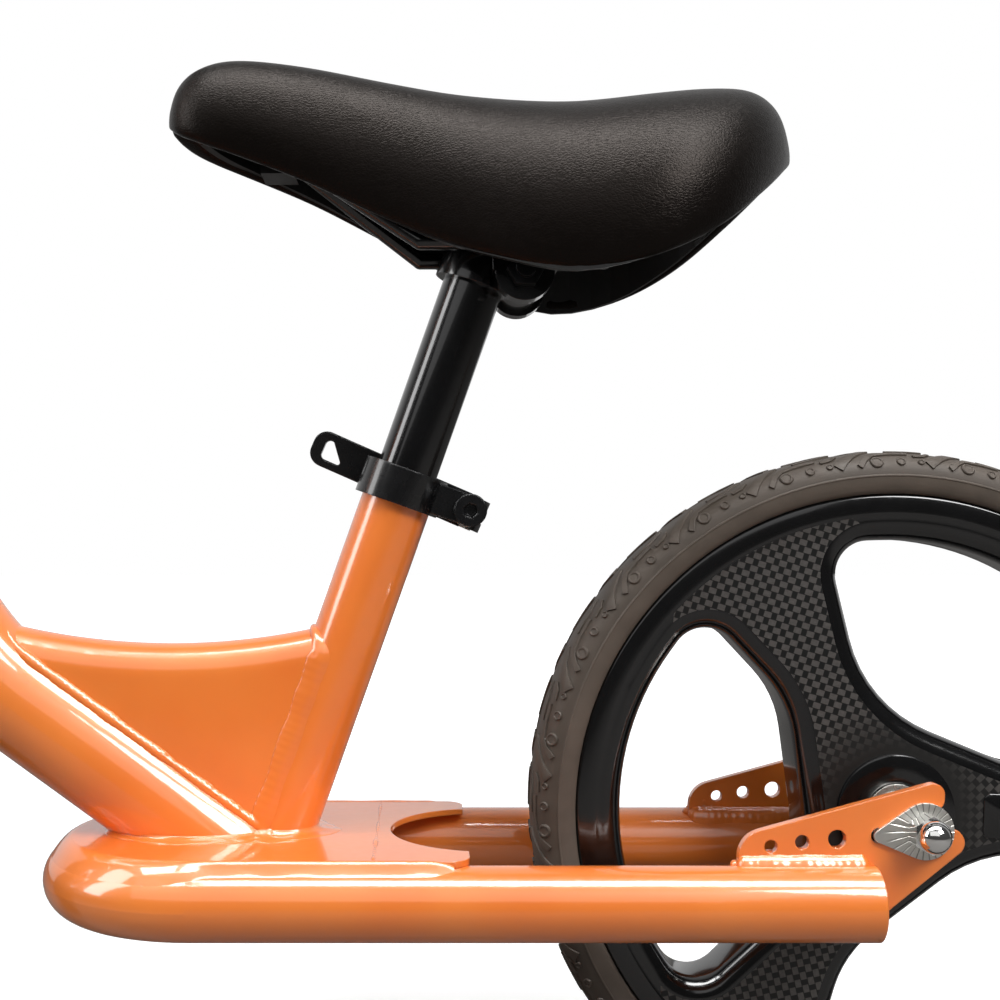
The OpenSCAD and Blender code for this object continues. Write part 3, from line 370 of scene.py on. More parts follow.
def face_sheet(form, windows):
    """The flat of the three spokes, between the windows' rounded edges, the hub and the lip."""
    flats = [offset(outline, EDGE_ROUND) for outline in windows]
    loops = flats + [[polar(r, math.tau * k / STEPS) for k in range(STEPS)]
                     for r in (HUB_R, LIP_R)]
    inner = []
    span = int(LIP_R / GRID) + 1
    for i in range(-span, span + 1):
        for j in range(-span, span + 1):
            spot = Vector(((i + 0.5 * (j % 2)) * GRID, j * GRID * 0.866))
            near = min((spot - p).length for loop in loops for p in loop[::2])
            if HUB_R < spot.length < LIP_R and near > 0.55 * GRID:
                inner.append(spot)
    points = [p for loop in loops for p in loop] + inner
    edges = []
    start = 0
    for loop in loops:
        edges += [(start + k, start + (k + 1) % len(loop)) for k in range(len(loop))]
        start += len(loop)
    spots, _, faces, *_ = delaunay_2d_cdt(points, edges, [], 0, 1e-7)
    verts = [form.verts.new((p.x, -spoke_face(p.length), p.y)) for p in spots]
    chart = form.loops.layers.uv.new("print")
    for face in faces:
        mid = sum((spots[k] for k in face), Vector((0, 0))) / len(face)
        if mid.length > LIP_R * 0.9998 or mid.length < HUB_R or any(inside(f, *mid) for f in flats):
            continue
        made = form.faces.new([verts[k] for k in face])
        way = math.atan2(mid.y, mid.x)
        turn = min(abs((way - a + math.pi) % math.tau - math.pi) for a in WINDOWS)
        strip = mid.length > WINDOW_R + EDGE_ROUND - 2 * MM and turn < BARE
        made.material_index = 0 if strip else 1
        spoke = round((way - SPOKE) / THIRD) * THIRD + SPOKE
        for loop in made.loops:
            spot = Vector((loop.vert.co.x, loop.vert.co.z))
            loop[chart].uv = Matrix.Rotation(PRINT_TURN - spoke, 2) @ spot
    loose = [v for v in form.verts if not v.link_faces]
    bmesh.ops.delete(form, geom=loose, context="VERTS")


def window_edge(form, outline):
    """The rounded edge of a window and half of its wall, down to the wheel's middle plane."""
    rounds = 6
    rows = []
    for k in range(rounds, -1, -1):
        turn = math.pi / 2 * k / rounds
        reach = EDGE_ROUND * (1 - math.cos(turn))
        drop = EDGE_ROUND * (1 - math.sin(turn))
        rows.append([(p.x, drop - spoke_face(p.length), p.y) for p in offset(outline, reach)])
    rows.append([(p.x, 0, p.y) for p in outline])
    skin(form, [[form.verts.new(point) for point in row] for row in rows])


def finish_piece(name, form, body, materials, place=(0, 0, 0), smooth=40):
    """Turns a bmesh into an object in the part's frame that rides on a body."""
    bmesh.ops.recalc_face_normals(form, faces=form.faces)
    mesh = bpy.data.meshes.new(name)
    bmesh.ops.translate(form, verts=form.verts, vec=place)
    form.to_mesh(mesh)
    form.free()
    for mat in materials:
        mesh.materials.append(mat)
    piece = bpy.data.objects.new(name, mesh)
    bpy.context.collection.objects.link(piece)
    mesh.shade_smooth()
    mesh.set_sharp_from_angle(angle=math.radians(smooth))
    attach(piece, body)
    return piece


def wheel_disc():
    """Half of a wheel disc at the origin, mirrored into the whole."""
    form = bmesh.new()
    windows = [window_outline(a) for a in WINDOWS]
    face_sheet(form, windows)
    for outline in windows:
        window_edge(form, outline)
    bead_seat = EDGE_R - 8 * MM
    channel = LIP_FACE - 3.5 * MM
    lathe(form, [(LIP_R, -spoke_face(LIP_R)), (LIP_R + 0.7 * MM, -LIP_FACE + 0.15 * MM),
                 (LIP_R + 1.6 * MM, -LIP_FACE), (EDGE_R - 1.4 * MM, -LIP_FACE),
                 (EDGE_R - 0.5 * MM, -LIP_FACE + 0.4 * MM), (EDGE_R, -LIP_FACE + 1.2 * MM),
                 (EDGE_R, -channel), (bead_seat, -channel), (bead_seat, 0)])
    lathe(form, [(HUB_R, -spoke_face(HUB_R)), (HUB_R, -HUB_FACE + 1.1 * MM),
                 (HUB_R - 0.3 * MM, -HUB_FACE + 0.35 * MM), (HUB_R - 1.1 * MM, -HUB_FACE),
                 (13.4 * MM, -HUB_FACE), (12.5 * MM, -HUB_FACE + 0.3 * MM),
                 (12 * MM, -HUB_FACE + 1 * MM), (12 * MM, -12 * MM), (9.5 * MM, -12 * MM),
                 (9.5 * MM, 0)])
    return mirrored(form, 1e-5)


def print_patch(tree, chart, shift):
    """1 inside the light patches, which repeat every PITCH and stand shift pitches along."""
    inside_both = 1
    for axis, share in (("X", 0.29), ("Y", 0.22)):
        cells = add(tree, "Math", {0: chart[axis], 1: 1 / PITCH, 2: shift},
                    operation="MULTIPLY_ADD")[0]
        part = add(tree, "Math", {0: cells, 1: 0.5}, operation="PINGPONG")[0]
        hit = add(tree, "MapRange", {"Value": part, "From Min": share + 0.02,
                                     "From Max": share - 0.02})["Result"]
        inside_both = add(tree, "Math", {0: inside_both, 1: hit}, operation="MULTIPLY")[0]
    return inside_both


def rim_print():
    """Printed film under a thin varnish: grey checks on black that fade out near the hub."""
    mat, tree, shader = new_material("check_print")
    flat = add(tree, "UVMap", uv_map="print")["UV"]
    chart = add(tree, "SeparateXYZ", {"Vector": flat})
    light = add(tree, "Math", {0: print_patch(tree, chart, 0.0), 1: print_patch(tree, chart, 0.5)},
                operation="MAXIMUM")[0]
    reach = add(tree, "VectorMath", {0: flat}, operation="LENGTH")["Value"]
    fade = add(tree, "MapRange", {"Value": reach, "From Min": HUB_R + 2 * MM,
                                  "From Max": HUB_R + 22 * MM})["Result"]
    shown = add(tree, "Math", {0: light, 1: fade}, operation="MULTIPLY")[0]
    worn = add(tree, "TexNoise", {"Vector": flat, "Scale": 1 / (1.2 * MM), "Detail": 3})["Fac"]
    dark = add(tree, "Mix", {0: fade, 6: rgb("#1c1b1a"), 7: rgb("#0a0a0a")},
               data_type="RGBA")[2]
    pale = add(tree, "Mix", {0: worn, 6: rgb("#393635"), 7: rgb("#55524f")},
               data_type="RGBA")[2]
    colour = add(tree, "Mix", {0: shown, 6: dark, 7: pale}, data_type="RGBA")[2]
    film = add(tree, "Bump", {"Height": shown, "Distance": 0.02 * MM, "Strength": 0.3})["Normal"]
    fill(tree, shader, {"Roughness": 0.4, "Coat Weight": 0.2, "Coat Roughness": 0.15,
                        "Specular IOR Level": 0.3, "Base Color": colour, "Normal": film})
    return mat


def spoke_label():
    """A thin plate with round corners on the spoke behind the axle, along the spoke."""
    form = bmesh.new()
    spoke = Matrix.Rotation(SPOKE - THIRD, 2)
    near, far, half, corner = 36 * MM, 58 * MM, 9 * MM, 3 * MM
    flat = rounded([(near, -half, corner), (far, -half, corner), (far, half, corner),
                    (near, half, corner)])
    rows = []
    for inset, lift in ((0, -0.2 * MM), (0, 0.4 * MM), (0.3 * MM, 0.6 * MM)):
        row = [spoke @ p for p in offset(flat, -inset)]
        rows.append([form.verts.new((p.x, -spoke_face(p.length) - lift, p.y)) for p in row])
    skin(form, rows, (0, -1))
    return form


# Nylon moulding: near black, with a clear gloss and the faint sink marks of thick plastic.
nylon = plain_finish("gloss_black_moulding", ("#080808", "#0f0f10"), (18, 1), (0.1, 0.2),
                     mist=[(3, 3)], grains=[(18, 1, 0.06, 0.3)], Coat_Weight=0.4,
                     Coat_Roughness=0.04)
disc_materials = [nylon, rim_print()]
for side, axle in axles.items():
    disc = finish_piece(side + "_wheel_disc", wheel_disc(), side + "_wheel", disc_materials,
                        axle)
    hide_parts(side + "_rim")
    label = finish_piece(side + "_wheel_label", spoke_label(), side + "_wheel", [nylon], axle)

# ---- Tyres ----
# Airless tyres of grey-brown foam rubber: a smooth sidewall, a fine ridge, and raised tread that
# repeats 24 times on each shoulder: a bent bar, a broad slanted bar, a hook and three studs.

RIDGE = 137.5 * MM  # radius of the ridge above the sidewall
UNITS = 24
SIDEWALL = [(122.3, 0), (122.3, 12.7), (130.1, 12.7), (130.15, 16.2), (130.6, 17), (132, 18),
            (134, 18.8), (136, 19.3), (137, 19.45), (137.3, 19.75), (137.7, 19.75), (138.1, 19.35)]
SHOULDER = [(138.1, 19.35), (140, 19.1), (142, 18.3), (143.6, 17), (145, 15), (146, 12.6),
            (146.8, 9.5), (147.2, 6), (147.35, 3), (147.4, 0)]
# The tread is laid out in degrees round the wheel and mm from the ridge, with heights in mm.
LIFT = 0.8
DEGREE = math.radians(1) * 144  # mm per degree on the shoulder
BARS = [([(2.9, 3.6), (1.4, 8), (0.3, 10.4), (-2.4, 11.4), (-5.4, 11.6)], 2.5),
        ([(6.4, 4.2), (4.6, 9), (2.6, 14), (0.6, 19)], 4.4),
        ([(-6.2, 9.2), (-7.8, 9.6), (-8.9, 12.4)], 1.8),
        ([(-2.4, 15.4), (-5.5, 16), (-8.6, 20)], 2.6)]  # paths and widths
BAR = [(1.04, -0.3), (0.93, LIFT - 0.1), (0.8, LIFT), (-0.8, LIFT), (-0.93, LIFT - 0.1),
       (-1.04, -0.3)]  # across a bar: shares of its width, heights
STUD = [(1.15, -0.2), (1.0, LIFT - 0.2), (0.88, LIFT), (0.72, LIFT - 0.05), (0.6, LIFT - 0.4)]
STUDS = [(0, 2.6), (-4, 1.8), (-7.3, 1.3)]  # places round the wheel and radii
STUD_ROW = 5.4  # mm from the ridge to the studs' middles


def shoulder_point(along):
    """Point (radius, y) and outward normal at a length along the shoulder from the ridge."""
    for (r0, y0), (r1, y1) in zip(SHOULDER, SHOULDER[1:]):
        step = Vector((r1 - r0, y1 - y0))
        if along <= step.length or r1 == SHOULDER[-1][0]:
            part = min(1.0, along / step.length)
            return Vector((r0, y0)) + step * part, Vector((-step.y, step.x)).normalized()
        along -= step.length


def tread_point(turn, along, lift):
    """Point on the left shoulder: turn in degrees round the wheel, along and lift in mm."""
    spot, out = shoulder_point(along)
    r, y = (spot + out * lift) * MM
    x, z = polar(r, math.radians(turn))
    return x, -y, z


def tread_bar(form, unit, path, width):
    """A raised bar along a path of (degrees, mm from the ridge), with walls and flat ends."""
    fine = []
    for (t0, s0), (t1, s1) in zip(path, path[1:]):
        count = max(1, round(abs(s1 - s0) / 1.5 + abs(t1 - t0) * DEGREE / 3))
        fine += [(t0 + (t1 - t0) * k / count, s0 + (s1 - s0) * k / count) for k in range(count)]
    fine.append(path[-1])
    rows = []
    for k, (turn, along) in enumerate(fine):
        before, after = fine[max(0, k - 1)], fine[min(len(fine) - 1, k + 1)]
        way = Vector(((after[0] - before[0]) * DEGREE, after[1] - before[1])).normalized()
        side = Vector((-way.y, way.x)) * width / 2
        rows.append([form.verts.new(tread_point(unit + turn + side.x * share / DEGREE,
                                                max(0.2, along + side.y * share), lift))
                     for share, lift in BAR])
    for one, two in zip(rows, rows[1:]):
        for k in range(len(one) - 1):
            form.faces.new((one[k], one[k + 1], two[k + 1], two[k]))
    for row in (rows[0], rows[-1]):
        form.faces.new(row)


def tread_stud(form, turn, along, r):
    """A round stud with a raised rim and a shallow dish."""
    rows = []
    for share, lift in STUD:
        spots = [polar(r * share, math.tau * k / 16) for k in range(16)]
        rows.append([form.verts.new(tread_point(turn + spot.x / DEGREE, along + spot.y, lift))
                     for spot in spots])
    skin(form, rows, (-1,))


def tyre():
    form = bmesh.new()
    for profile in (SIDEWALL, SHOULDER):
        lathe(form, [(r * MM, -y * MM) for r, y in profile])
    plain_faces = set(form.faces)
    for k in range(UNITS):
        unit = 360 * k / UNITS + 3
        for path, width in BARS:
            tread_bar(form, unit, path, width)
        for turn, r in STUDS:
            tread_stud(form, unit + turn, STUD_ROW, r)
    for face in form.faces:
        mid = face.calc_center_median()
        low = face in plain_faces and math.hypot(mid.x, mid.z) <= RIDGE
        face.material_index = 0 if low else 1
    return mirrored(form, 1e-6)


# Foam rubber: matt and dusty, a little cloudy, darker and finer grained on the tread.
rubbers = [plain_finish(name, tones, (12, 3), (0.52, 0.68), spread=(0.3, 0.7),
                        grains=[(grain, 3, 0.06, 0.6)], Specular_IOR_Level=0.35)
           for name, tones, grain in (("tyre_sidewall_rubber", ("#50473f", "#5c5249"), 0.9),
                                      ("tyre_tread_rubber", ("#403830", "#4a4139"), 0.6))]
for side, axle in axles.items():
    tire = finish_piece(side + "_tyre_with_tread", tyre(), side + "_wheel", rubbers, axle, 30)
    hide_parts(side + "_tyre")

# ---- Saddle ----
# A leather-look cover over foam, drawn smooth over the saddle's crown and rolled in at the lip. It
# is hollow below, where a black plastic base lines it and carries the rails.

BOLT = middle("saddle_clamp_bolt")
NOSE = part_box("saddle_cover")[0][0] - BOLT.x  # the saddle's tip, ahead of the bolt
# From the nose back, in mm: distance from the tip, crown and lip over the bolt, half width, and
# how far the lip tucks in.
STATIONS = [[0, 70, 62, 5, 1], [4, 80.5, 57.5, 14, 2], [13, 88, 53, 21, 3], [29, 91.5, 47, 25, 4],
            [58, 88.5, 35.5, 28, 4], [90, 82, 20, 33.5, 4.5], [120, 76, 7, 44.5, 5],
            [150, 72.3, -2.5, 58.5, 5], [172, 71.8, -5.5, 65, 5], [199, 74.5, 0, 66.5, 5],
            [222, 77, 11.5, 57.5, 5], [240, 77, 26, 42, 4], [252, 70, 38, 25, 3],
            [258.5, 56, 46, 8, 1]]
SPANS = 3  # sections for each station
ARCH = 20  # spans across each section


def station(t):
    """A section at t stations from the nose, on a smooth curve through its neighbours."""
    i = min(len(STATIONS) - 2, int(t))
    f = t - i
    near = [STATIONS[max(0, min(len(STATIONS) - 1, k))] for k in (i - 1, i, i + 1, i + 2)]
    return [0.5 * (2 * b + (c - a) * f + (2 * a - 5 * b + 4 * c - d) * f * f
                   + (3 * b - a - 3 * c + d) * f ** 3) for a, b, c, d in zip(*near)]


def arch(t, ends, sides, top):
    """Points across the saddle at t, set in by so many mm at the ends, the sides and the top."""
    along, crown, lip, half, tuck = station(t)
    long = STATIONS[-1][0]
    x = NOSE + (ends + along * (long - 2 * ends) / long) * MM
    least = 4 - ends / 5
    wide, high = max(least, half - sides), max(least, crown - lip - top)
    points = []
    for k in range(ARCH + 1):
        turn = math.pi * k / ARCH
        bulge = wide * abs(math.cos(turn)) ** 0.8 - tuck * max(0, 1 - math.sin(turn) / 0.32) ** 2
        points.append(BOLT + Vector((x, math.copysign(bulge, -math.cos(turn)) * MM,
                                     (lip + high * math.sin(turn) ** 0.8) * MM)))
    return points


def shell(outer, inner):
    """A closed skin between two sets of arches, each set in as (ends, sides, top) in mm."""
    form = bmesh.new()
    count = SPANS * (len(STATIONS) - 1) + 1
    over, under = [[[form.verts.new(p) for p in arch(i / SPANS, *setting)] for i in range(count)]
                   for setting in (outer, inner)]
    rows = [high + low[::-1] for high, low in zip(over, under)]
    skin(form, rows)
    for row in (rows[0], rows[-1]):
        form.faces.new(row[:ARCH + 1])
        form.faces.new(row[ARCH + 1:])
        form.faces.new((row[0], row[ARCH], row[ARCH + 1], row[-1]))
    return form


def saddle_leather():
    """Soft PVC leather-cloth: near black and satin, with pores, short wrinkles along the saddle
    and slow waves of the foam under it. The pores are drawn coarser than real ones to show."""
    mat, tree, shader = new_material("saddle_leather_look")
    point = add(tree, "TexCoord")["Object"]
    flow = add(tree, "Mapping", {"Vector": point, "Scale": (0.6, 1, 1)})[0]
    pores = add(tree, "TexVoronoi", {"Vector": flow, "Scale": 1 / (1.1 * MM)},
                feature="DISTANCE_TO_EDGE")["Distance"]
    pores = add(tree, "MapRange", {"Value": pores, "From Max": 0.2})["Result"]
    wrinkles = add(tree, "TexNoise", {"Vector": flow, "Scale": 1 / (2.6 * MM), "Detail": 4,
                                      "Roughness": 0.6})["Fac"]
    waves = add(tree, "TexNoise", {"Vector": point, "Scale": 1 / (16 * MM), "Detail": 2})["Fac"]
    cloud = add(tree, "TexNoise", {"Vector": point, "Scale": 1 / (40 * MM), "Detail": 2})["Fac"]
    cloud = add(tree, "MapRange", {"Value": cloud, "From Min": 0.3, "From Max": 0.7})["Result"]
    colour = add(tree, "Mix", {0: cloud, 6: rgb("#080605"), 7: rgb("#0d0a09")},
                 data_type="RGBA")[2]
    rough = add(tree, "MapRange", {"Value": wrinkles, "To Min": 0.28, "To Max": 0.4})["Result"]
    under = {}
    for height, depth, strength in ((waves, 0.5, 0.2), (wrinkles, 0.2, 0.5), (pores, 0.08, 0.6)):
        under["Normal"] = add(tree, "Bump", {"Height": height, "Distance": depth * MM,
                                             "Strength": strength, **under})["Normal"]
    fill(tree, shader, {"Specular IOR Level": 0.12, "Specular Tint": rgb("#fcebdf"),
                        "Base Color": colour, "Roughness": rough, **under})
    return mat


cover = finish_piece("saddle_cover_smooth", shell((0, 0, 0), (9, 6.6, 9.6)), "saddle",
                     [saddle_leather()], smooth=180)
rounding = cover.modifiers.new("smooth", "SUBSURF")
rounding.levels = rounding.render_levels = 2
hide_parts("saddle_cover")

# Moulded polypropylene: black, half matt, with a fine spark-eroded grain.
base_plastic = plain_finish("saddle_base_plastic", ("#060606", "#0e0e0e"), (20, 2), (0.3, 0.45),
                            grains=[(0.8, 2, 0.04, 0.5)])
paint(base_plastic, "saddle_shell")

# ---- Gusset box ----
# A folded steel box that ties the main tube to the seat tube. Its sides are flat and its top, a
# shallow curve, is bent round from side to side. It is painted with the frame.

plate_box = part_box("footrest_plate_front")
PLATE_TOP = plate_box[1][2]
PLATE_R = (plate_box[1][1] - plate_box[0][1]) / 2  # half the plate's width; its front is round
BEND_X = plate_box[0][0] + PLATE_R  # centre of the footrest's bend
SEAT_R = 14.75 * MM
WALL = 0.6 * MM  # depth to which box and beads enter a tube
BOX_HALF = 13 * MM
BOX_TOP = Vector((BEND_X - 16.5 * MM, 0, PLATE_TOP + 363 * MM))  # centre of the box's round top
BOX_TOP_R = 285 * MM
ARC_SPANS = 20  # spans across the rounded top
joints = {joint["name"]: joint for joint in frame["joints"]}
seat_foot = Vector((BEND_X + 29 * MM, 0, PLATE_TOP))
seat_way = Vector(joints["seat_height"]["axis"])
seat_out = Vector((-seat_way.z, 0, seat_way.x))  # square to the seat tube, towards the box
main_foot = Vector((BEND_X - 4.2 * MM, 0, PLATE_TOP))


def climb(degrees):
    """Direction that climbs towards the front by so many degrees."""
    return Vector((-math.cos(math.radians(degrees)), 0, math.sin(math.radians(degrees))))


main_way = climb(35.9)


def axis_height(foot, way, x):
    """Height of a tube's axis at x."""
    return foot.z + (x - foot.x) * way.z / way.x


def gusset_box():
    """Sections across the box, each with its round top and with a floor inside the tubes."""
    form = bmesh.new()
    arc = [math.pi * n / ARC_SPANS for n in range(ARC_SPANS + 1)]
    least = BOX_HALF + 2 * MM
    rows = []
    for k in range(-120, 120):  # a section every millimetre
        x = main_foot.x + k * MM
        top = BOX_TOP.z - math.sqrt(BOX_TOP_R ** 2 - (x - BOX_TOP.x) ** 2)
        low = max(PLATE_TOP - 1 * MM, axis_height(main_foot, main_way, x),
                  axis_height(seat_foot, seat_way, x))
        if top - low < least:
            continue
        row = [(x, -BOX_HALF * math.cos(turn), top - BOX_HALF * (1 - math.sin(turn)))
               for turn in arc]
        row += [(x, BOX_HALF * math.cos(turn), low) for turn in arc]
        rows.append([form.verts.new(p) for p in row])
    skin(form, rows)
    for row in (rows[0], rows[-1]):
        for n in range(ARC_SPANS):
            form.faces.new((row[n], row[n + 1], row[-n - 2], row[-n - 1]))
    for vert in form.verts:  # cut round where it meets the seat tube
        wall = math.sqrt((SEAT_R - WALL) ** 2 - vert.co.y ** 2)
        vert.co += seat_out * max(0, wall - (vert.co - seat_foot).dot(seat_out))
    return form


box = finish_piece("gusset_box_folded", gusset_box(), "frame", [orange])
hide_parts("gusset_box")

# ---- Welds ----
# Painted beads where the frame's tubes and plates meet: round, a little lumpy, and dressed smooth
# round the edge of the footrest's plate.

MAIN_R = 22.25 * MM
HEAD_R = 23 * MM
REST_R = 14.3 * MM
REST_Z = PLATE_TOP - 16.8 * MM  # axis of the footrest's tube
REST_HALF = PLATE_R - 3 * MM  # from the bike's middle to that axis
REST_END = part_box("footrest_tube")[1][0]
rear_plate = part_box("footrest_plate_rear")
SEAM_X, PLATE_END = rear_plate[0][0], rear_plate[1][0]
ACROSS = Vector((0, 1, 0))
upper_way = climb(67.6)  # of the main tube's upper half
steer_foot = Vector(joints["steering"]["pos_m"])
steer_way = Vector(joints["steering"]["axis"])
# The two tubes that the box ties: foot, direction, way towards the box, radius.
main_tube = (main_foot, main_way, Vector((main_way.z, 0, -main_way.x)), MAIN_R)
seat_tube = (seat_foot, seat_way, seat_out, SEAT_R)
ROUND = 14  # points round a bead
BEAD_STEP = 0.8 * MM
RIPPLE = 3.4 * MM
FOOT_STEPS = 96  # sections round a tube's foot


def spread(path, step):
    """The same path in steps of about that length."""
    points = []
    for a, b in zip(path, path[1:]):
        count = max(1, round((b - a).length / step))
        points += [a + (b - a) * k / count for k in range(count)]
    return points + [path[-1]]


def bead(form, path, radius, lump=0.05, closed=False, face=None):
    """A weld bead along a path, with faint ripples about 3 mm apart and ends that run out. Face
    gives, at a point, the way out and how many times as wide as high the bead lies there."""
    path = spread([Vector(p) for p in path], BEAD_STEP)
    if closed:
        path = path[:-1]
    count = len(path)
    rows = []
    side = None
    for k, spot in enumerate(path):
        after = path[(k + 1) % count] if closed else path[min(k + 1, count - 1)]
        before = path[k - 1] if closed or k else path[0]
        way = (after - before).normalized()
        wide = 1
        if face:
            up, wide = face(spot)
            side = (up - way * up.dot(way)).cross(way)
        else:
            side = way.orthogonal() if side is None else side - way * side.dot(way)
        side.normalize()
        up = way.cross(side)
        ripple = math.sin(math.tau * k * BEAD_STEP / RIPPLE + 5 * field.noise(spot * 60))
        size = radius * (1 + 0.5 * lump * ripple + 4 * lump * field.noise(spot * 100))
        if not closed:
            size *= min(1, 0.35 + 0.25 * min(k, count - 1 - k))
        thin = 2 - 2 / wide
        rows.append([form.verts.new(spot + (side * math.cos(a) * wide
                                            + up * math.sin(a) * abs(math.sin(a)) ** thin) * size)
                     for a in (math.tau * n / ROUND for n in range(ROUND))])
    if closed:  # the last row joins the first, turned to fit
        first = rows[0]
        turn = min(range(ROUND), key=lambda s: (rows[-1][0].co - first[s].co).length)
        rows.append(first[turn:] + first[:turn])
    skin(form, rows, () if closed else (0, -1))


def meet(start, way, foot, axis, radius):
    """Where a line first meets a round tube, given by its foot, axis and radius."""
    gap = start - foot
    a = way - axis * way.dot(axis)
    b = gap - axis * gap.dot(axis)
    p, q, r = a.dot(a), 2 * a.dot(b), b.dot(b) - radius ** 2
    return start + way * ((-q - math.sqrt(q * q - 4 * p * r)) / (2 * p))


def under_box_top(start, way):
    """Where a line that climbs reaches the round top of the box."""
    gap = start - BOX_TOP
    gap.y = 0
    b = gap.dot(way)
    reach = BOX_TOP_R + BOX_HALF - math.sqrt(max(0, BOX_HALF ** 2 - start.y ** 2))
    return start + way * (-b - math.sqrt(b * b - gap.dot(gap) + reach ** 2))


def seam_foot(foot, way, out, radius, y):
    """Where a tube's wall, the box's side at y and the plate's top meet."""
    spot = foot + out * math.sqrt(radius ** 2 - y * y) + ACROSS * y
    return spot - way * ((spot.z - PLATE_TOP) / way.z)


def box_seam(form, foot, way, out, radius, size, wide, lump):
    """Bead between the box and a tube: up one side, across the box's top and down the other."""
    def face(spot):
        turn = max(-1, min(1, spot.y / BOX_HALF))
        return Vector((0, turn, math.sqrt(1 - turn * turn))), 1 + (wide - 1) * turn ** 4
    feet = [seam_foot(foot, way, out, radius, BOX_HALF * math.sin(math.pi * (k / 24 - 0.5)))
            for k in range(25)]
    rim = [under_box_top(spot, way) for spot in feet]
    bead(form, [feet[0]] + rim + [feet[-1]], size, lump, face=face)


def foot_fillet(form, foot, way, radius, reach):
    """The lumpy run of weld and paint between a tube's foot and the plate."""
    long = radius / way.z
    rows = []
    for k in range(FOOT_STEPS):
        a = math.tau * k / FOOT_STEPS
        wall = foot + Vector((long * math.cos(a), radius * math.sin(a), 0))
        out = Vector((radius * math.cos(a), long * math.sin(a), 0)).normalized()
        run = reach * (0.65 + 0.35 * math.cos(a)) * (1 + 0.5 * field.noise(wall * 110))
        row = [wall + way * 3 * MM / way.z - out * 0.4 * MM,
               wall + way * 2.4 * MM + out * 0.15 * MM]
        for share, rise in ((0.12, 1.3), (0.25, 0.8), (0.4, 0.5), (0.55, 0.3), (0.7, 0.16),
                            (0.85, 0.05), (1, -0.1)):
            spot = wall + out * run * share
            lump = field.noise(spot * 150) * (1 - share) * 0.9
            row.append(spot + Vector((0, 0, (rise + lump) * MM)))
        row.append(wall - out * 0.4 * MM - Vector((0, 0, 0.5 * MM)))
        rows.append([form.verts.new(p) for p in row])
    skin(form, rows + rows[:1])


def tube_ring(form, start, way, radius, foot, axis, other, size):
    """Bead round the end of a tube where it runs into another."""
    side = way.cross(ACROSS)
    bead(form, [meet(start + (side * math.cos(a) + ACROSS * math.sin(a)) * radius, way, foot,
                     axis, other) for a in (math.tau * k / 48 for k in range(49))],
         size, 0.05, True)


def ease(share, start, end, slope=0.0):
    """A smooth curve over 0 to 1 from start, level there, to end, with that slope at the end."""
    return (start * (2 * share ** 3 - 3 * share ** 2 + 1) + end * (3 * share ** 2 - 2 * share ** 3)
            + slope * (share ** 3 - share ** 2))


def plate_edge(form):
    """The dressed fillet that melts the plate's edge into the footrest's tube. It is wider and
    smoother round the front; reaches and heights are in mm from the plate's top edge."""
    straight = [x for x in (PLATE_END - 6 * MM - k * 1.5 * MM for k in range(70)) if x > BEND_X]
    path = [(Vector((x, PLATE_R, 0)), ACROSS) for x in straight]
    for k in range(91):
        a = math.radians(90 + 2 * k)
        out = Vector((math.cos(a), math.sin(a), 0))
        path.append((Vector((BEND_X, 0, 0)) + out * PLATE_R, out))
    path += [(Vector((x, -PLATE_R, 0)), -ACROSS) for x in reversed(straight)]
    lean = (PLATE_R - REST_HALF) / MM
    depth = (PLATE_TOP - REST_Z) / MM
    rows = []
    for spot, out in path:
        front = ease(max(0.0, min(1.0, (BEND_X + 12 * MM - spot.x) / (26 * MM))), 0, 1)
        sink = max(0.0, 1 - (straight[0] - spot.x) / (10 * MM)) ** 2 * 2.2
        last = 5.5 + 3.5 * front
        down = math.sqrt((REST_R / MM) ** 2 - (last + lean) ** 2)
        low = down - depth - 0.2
        row = [(-3 - 5 * front, -0.2)]
        for k in range(13):
            share = k / 12
            reach = -1 + (last + 1) * share
            lump = field.noise((spot + out * reach * MM) * 70) * (0.4 - 0.25 * front)
            height = ease(share, 0.12, low, -(last + lean) / down * (last + 1))
            ridge = 0.55 * (1 - front) * math.exp(-((reach - 0.4) / 1.3) ** 2)
            row.append((reach, height + ridge + lump * math.sin(math.pi * share)))
        row.append((last - 1, low - 3))
        rows.append([form.verts.new(spot + out * reach * MM
                                    + Vector((0, 0, PLATE_TOP + (height - sink) * MM)))
                     for reach, height in row])
    skin(form, rows, (0, -1))


def keep_out(form, foot, axis, radius):
    """Moves what reaches inside a tube's bore back into its wall."""
    for vert in form.verts:
        gap = vert.co - foot
        gap -= axis * gap.dot(axis)
        if gap.length < radius:
            vert.co += gap.normalized() * (radius - gap.length)


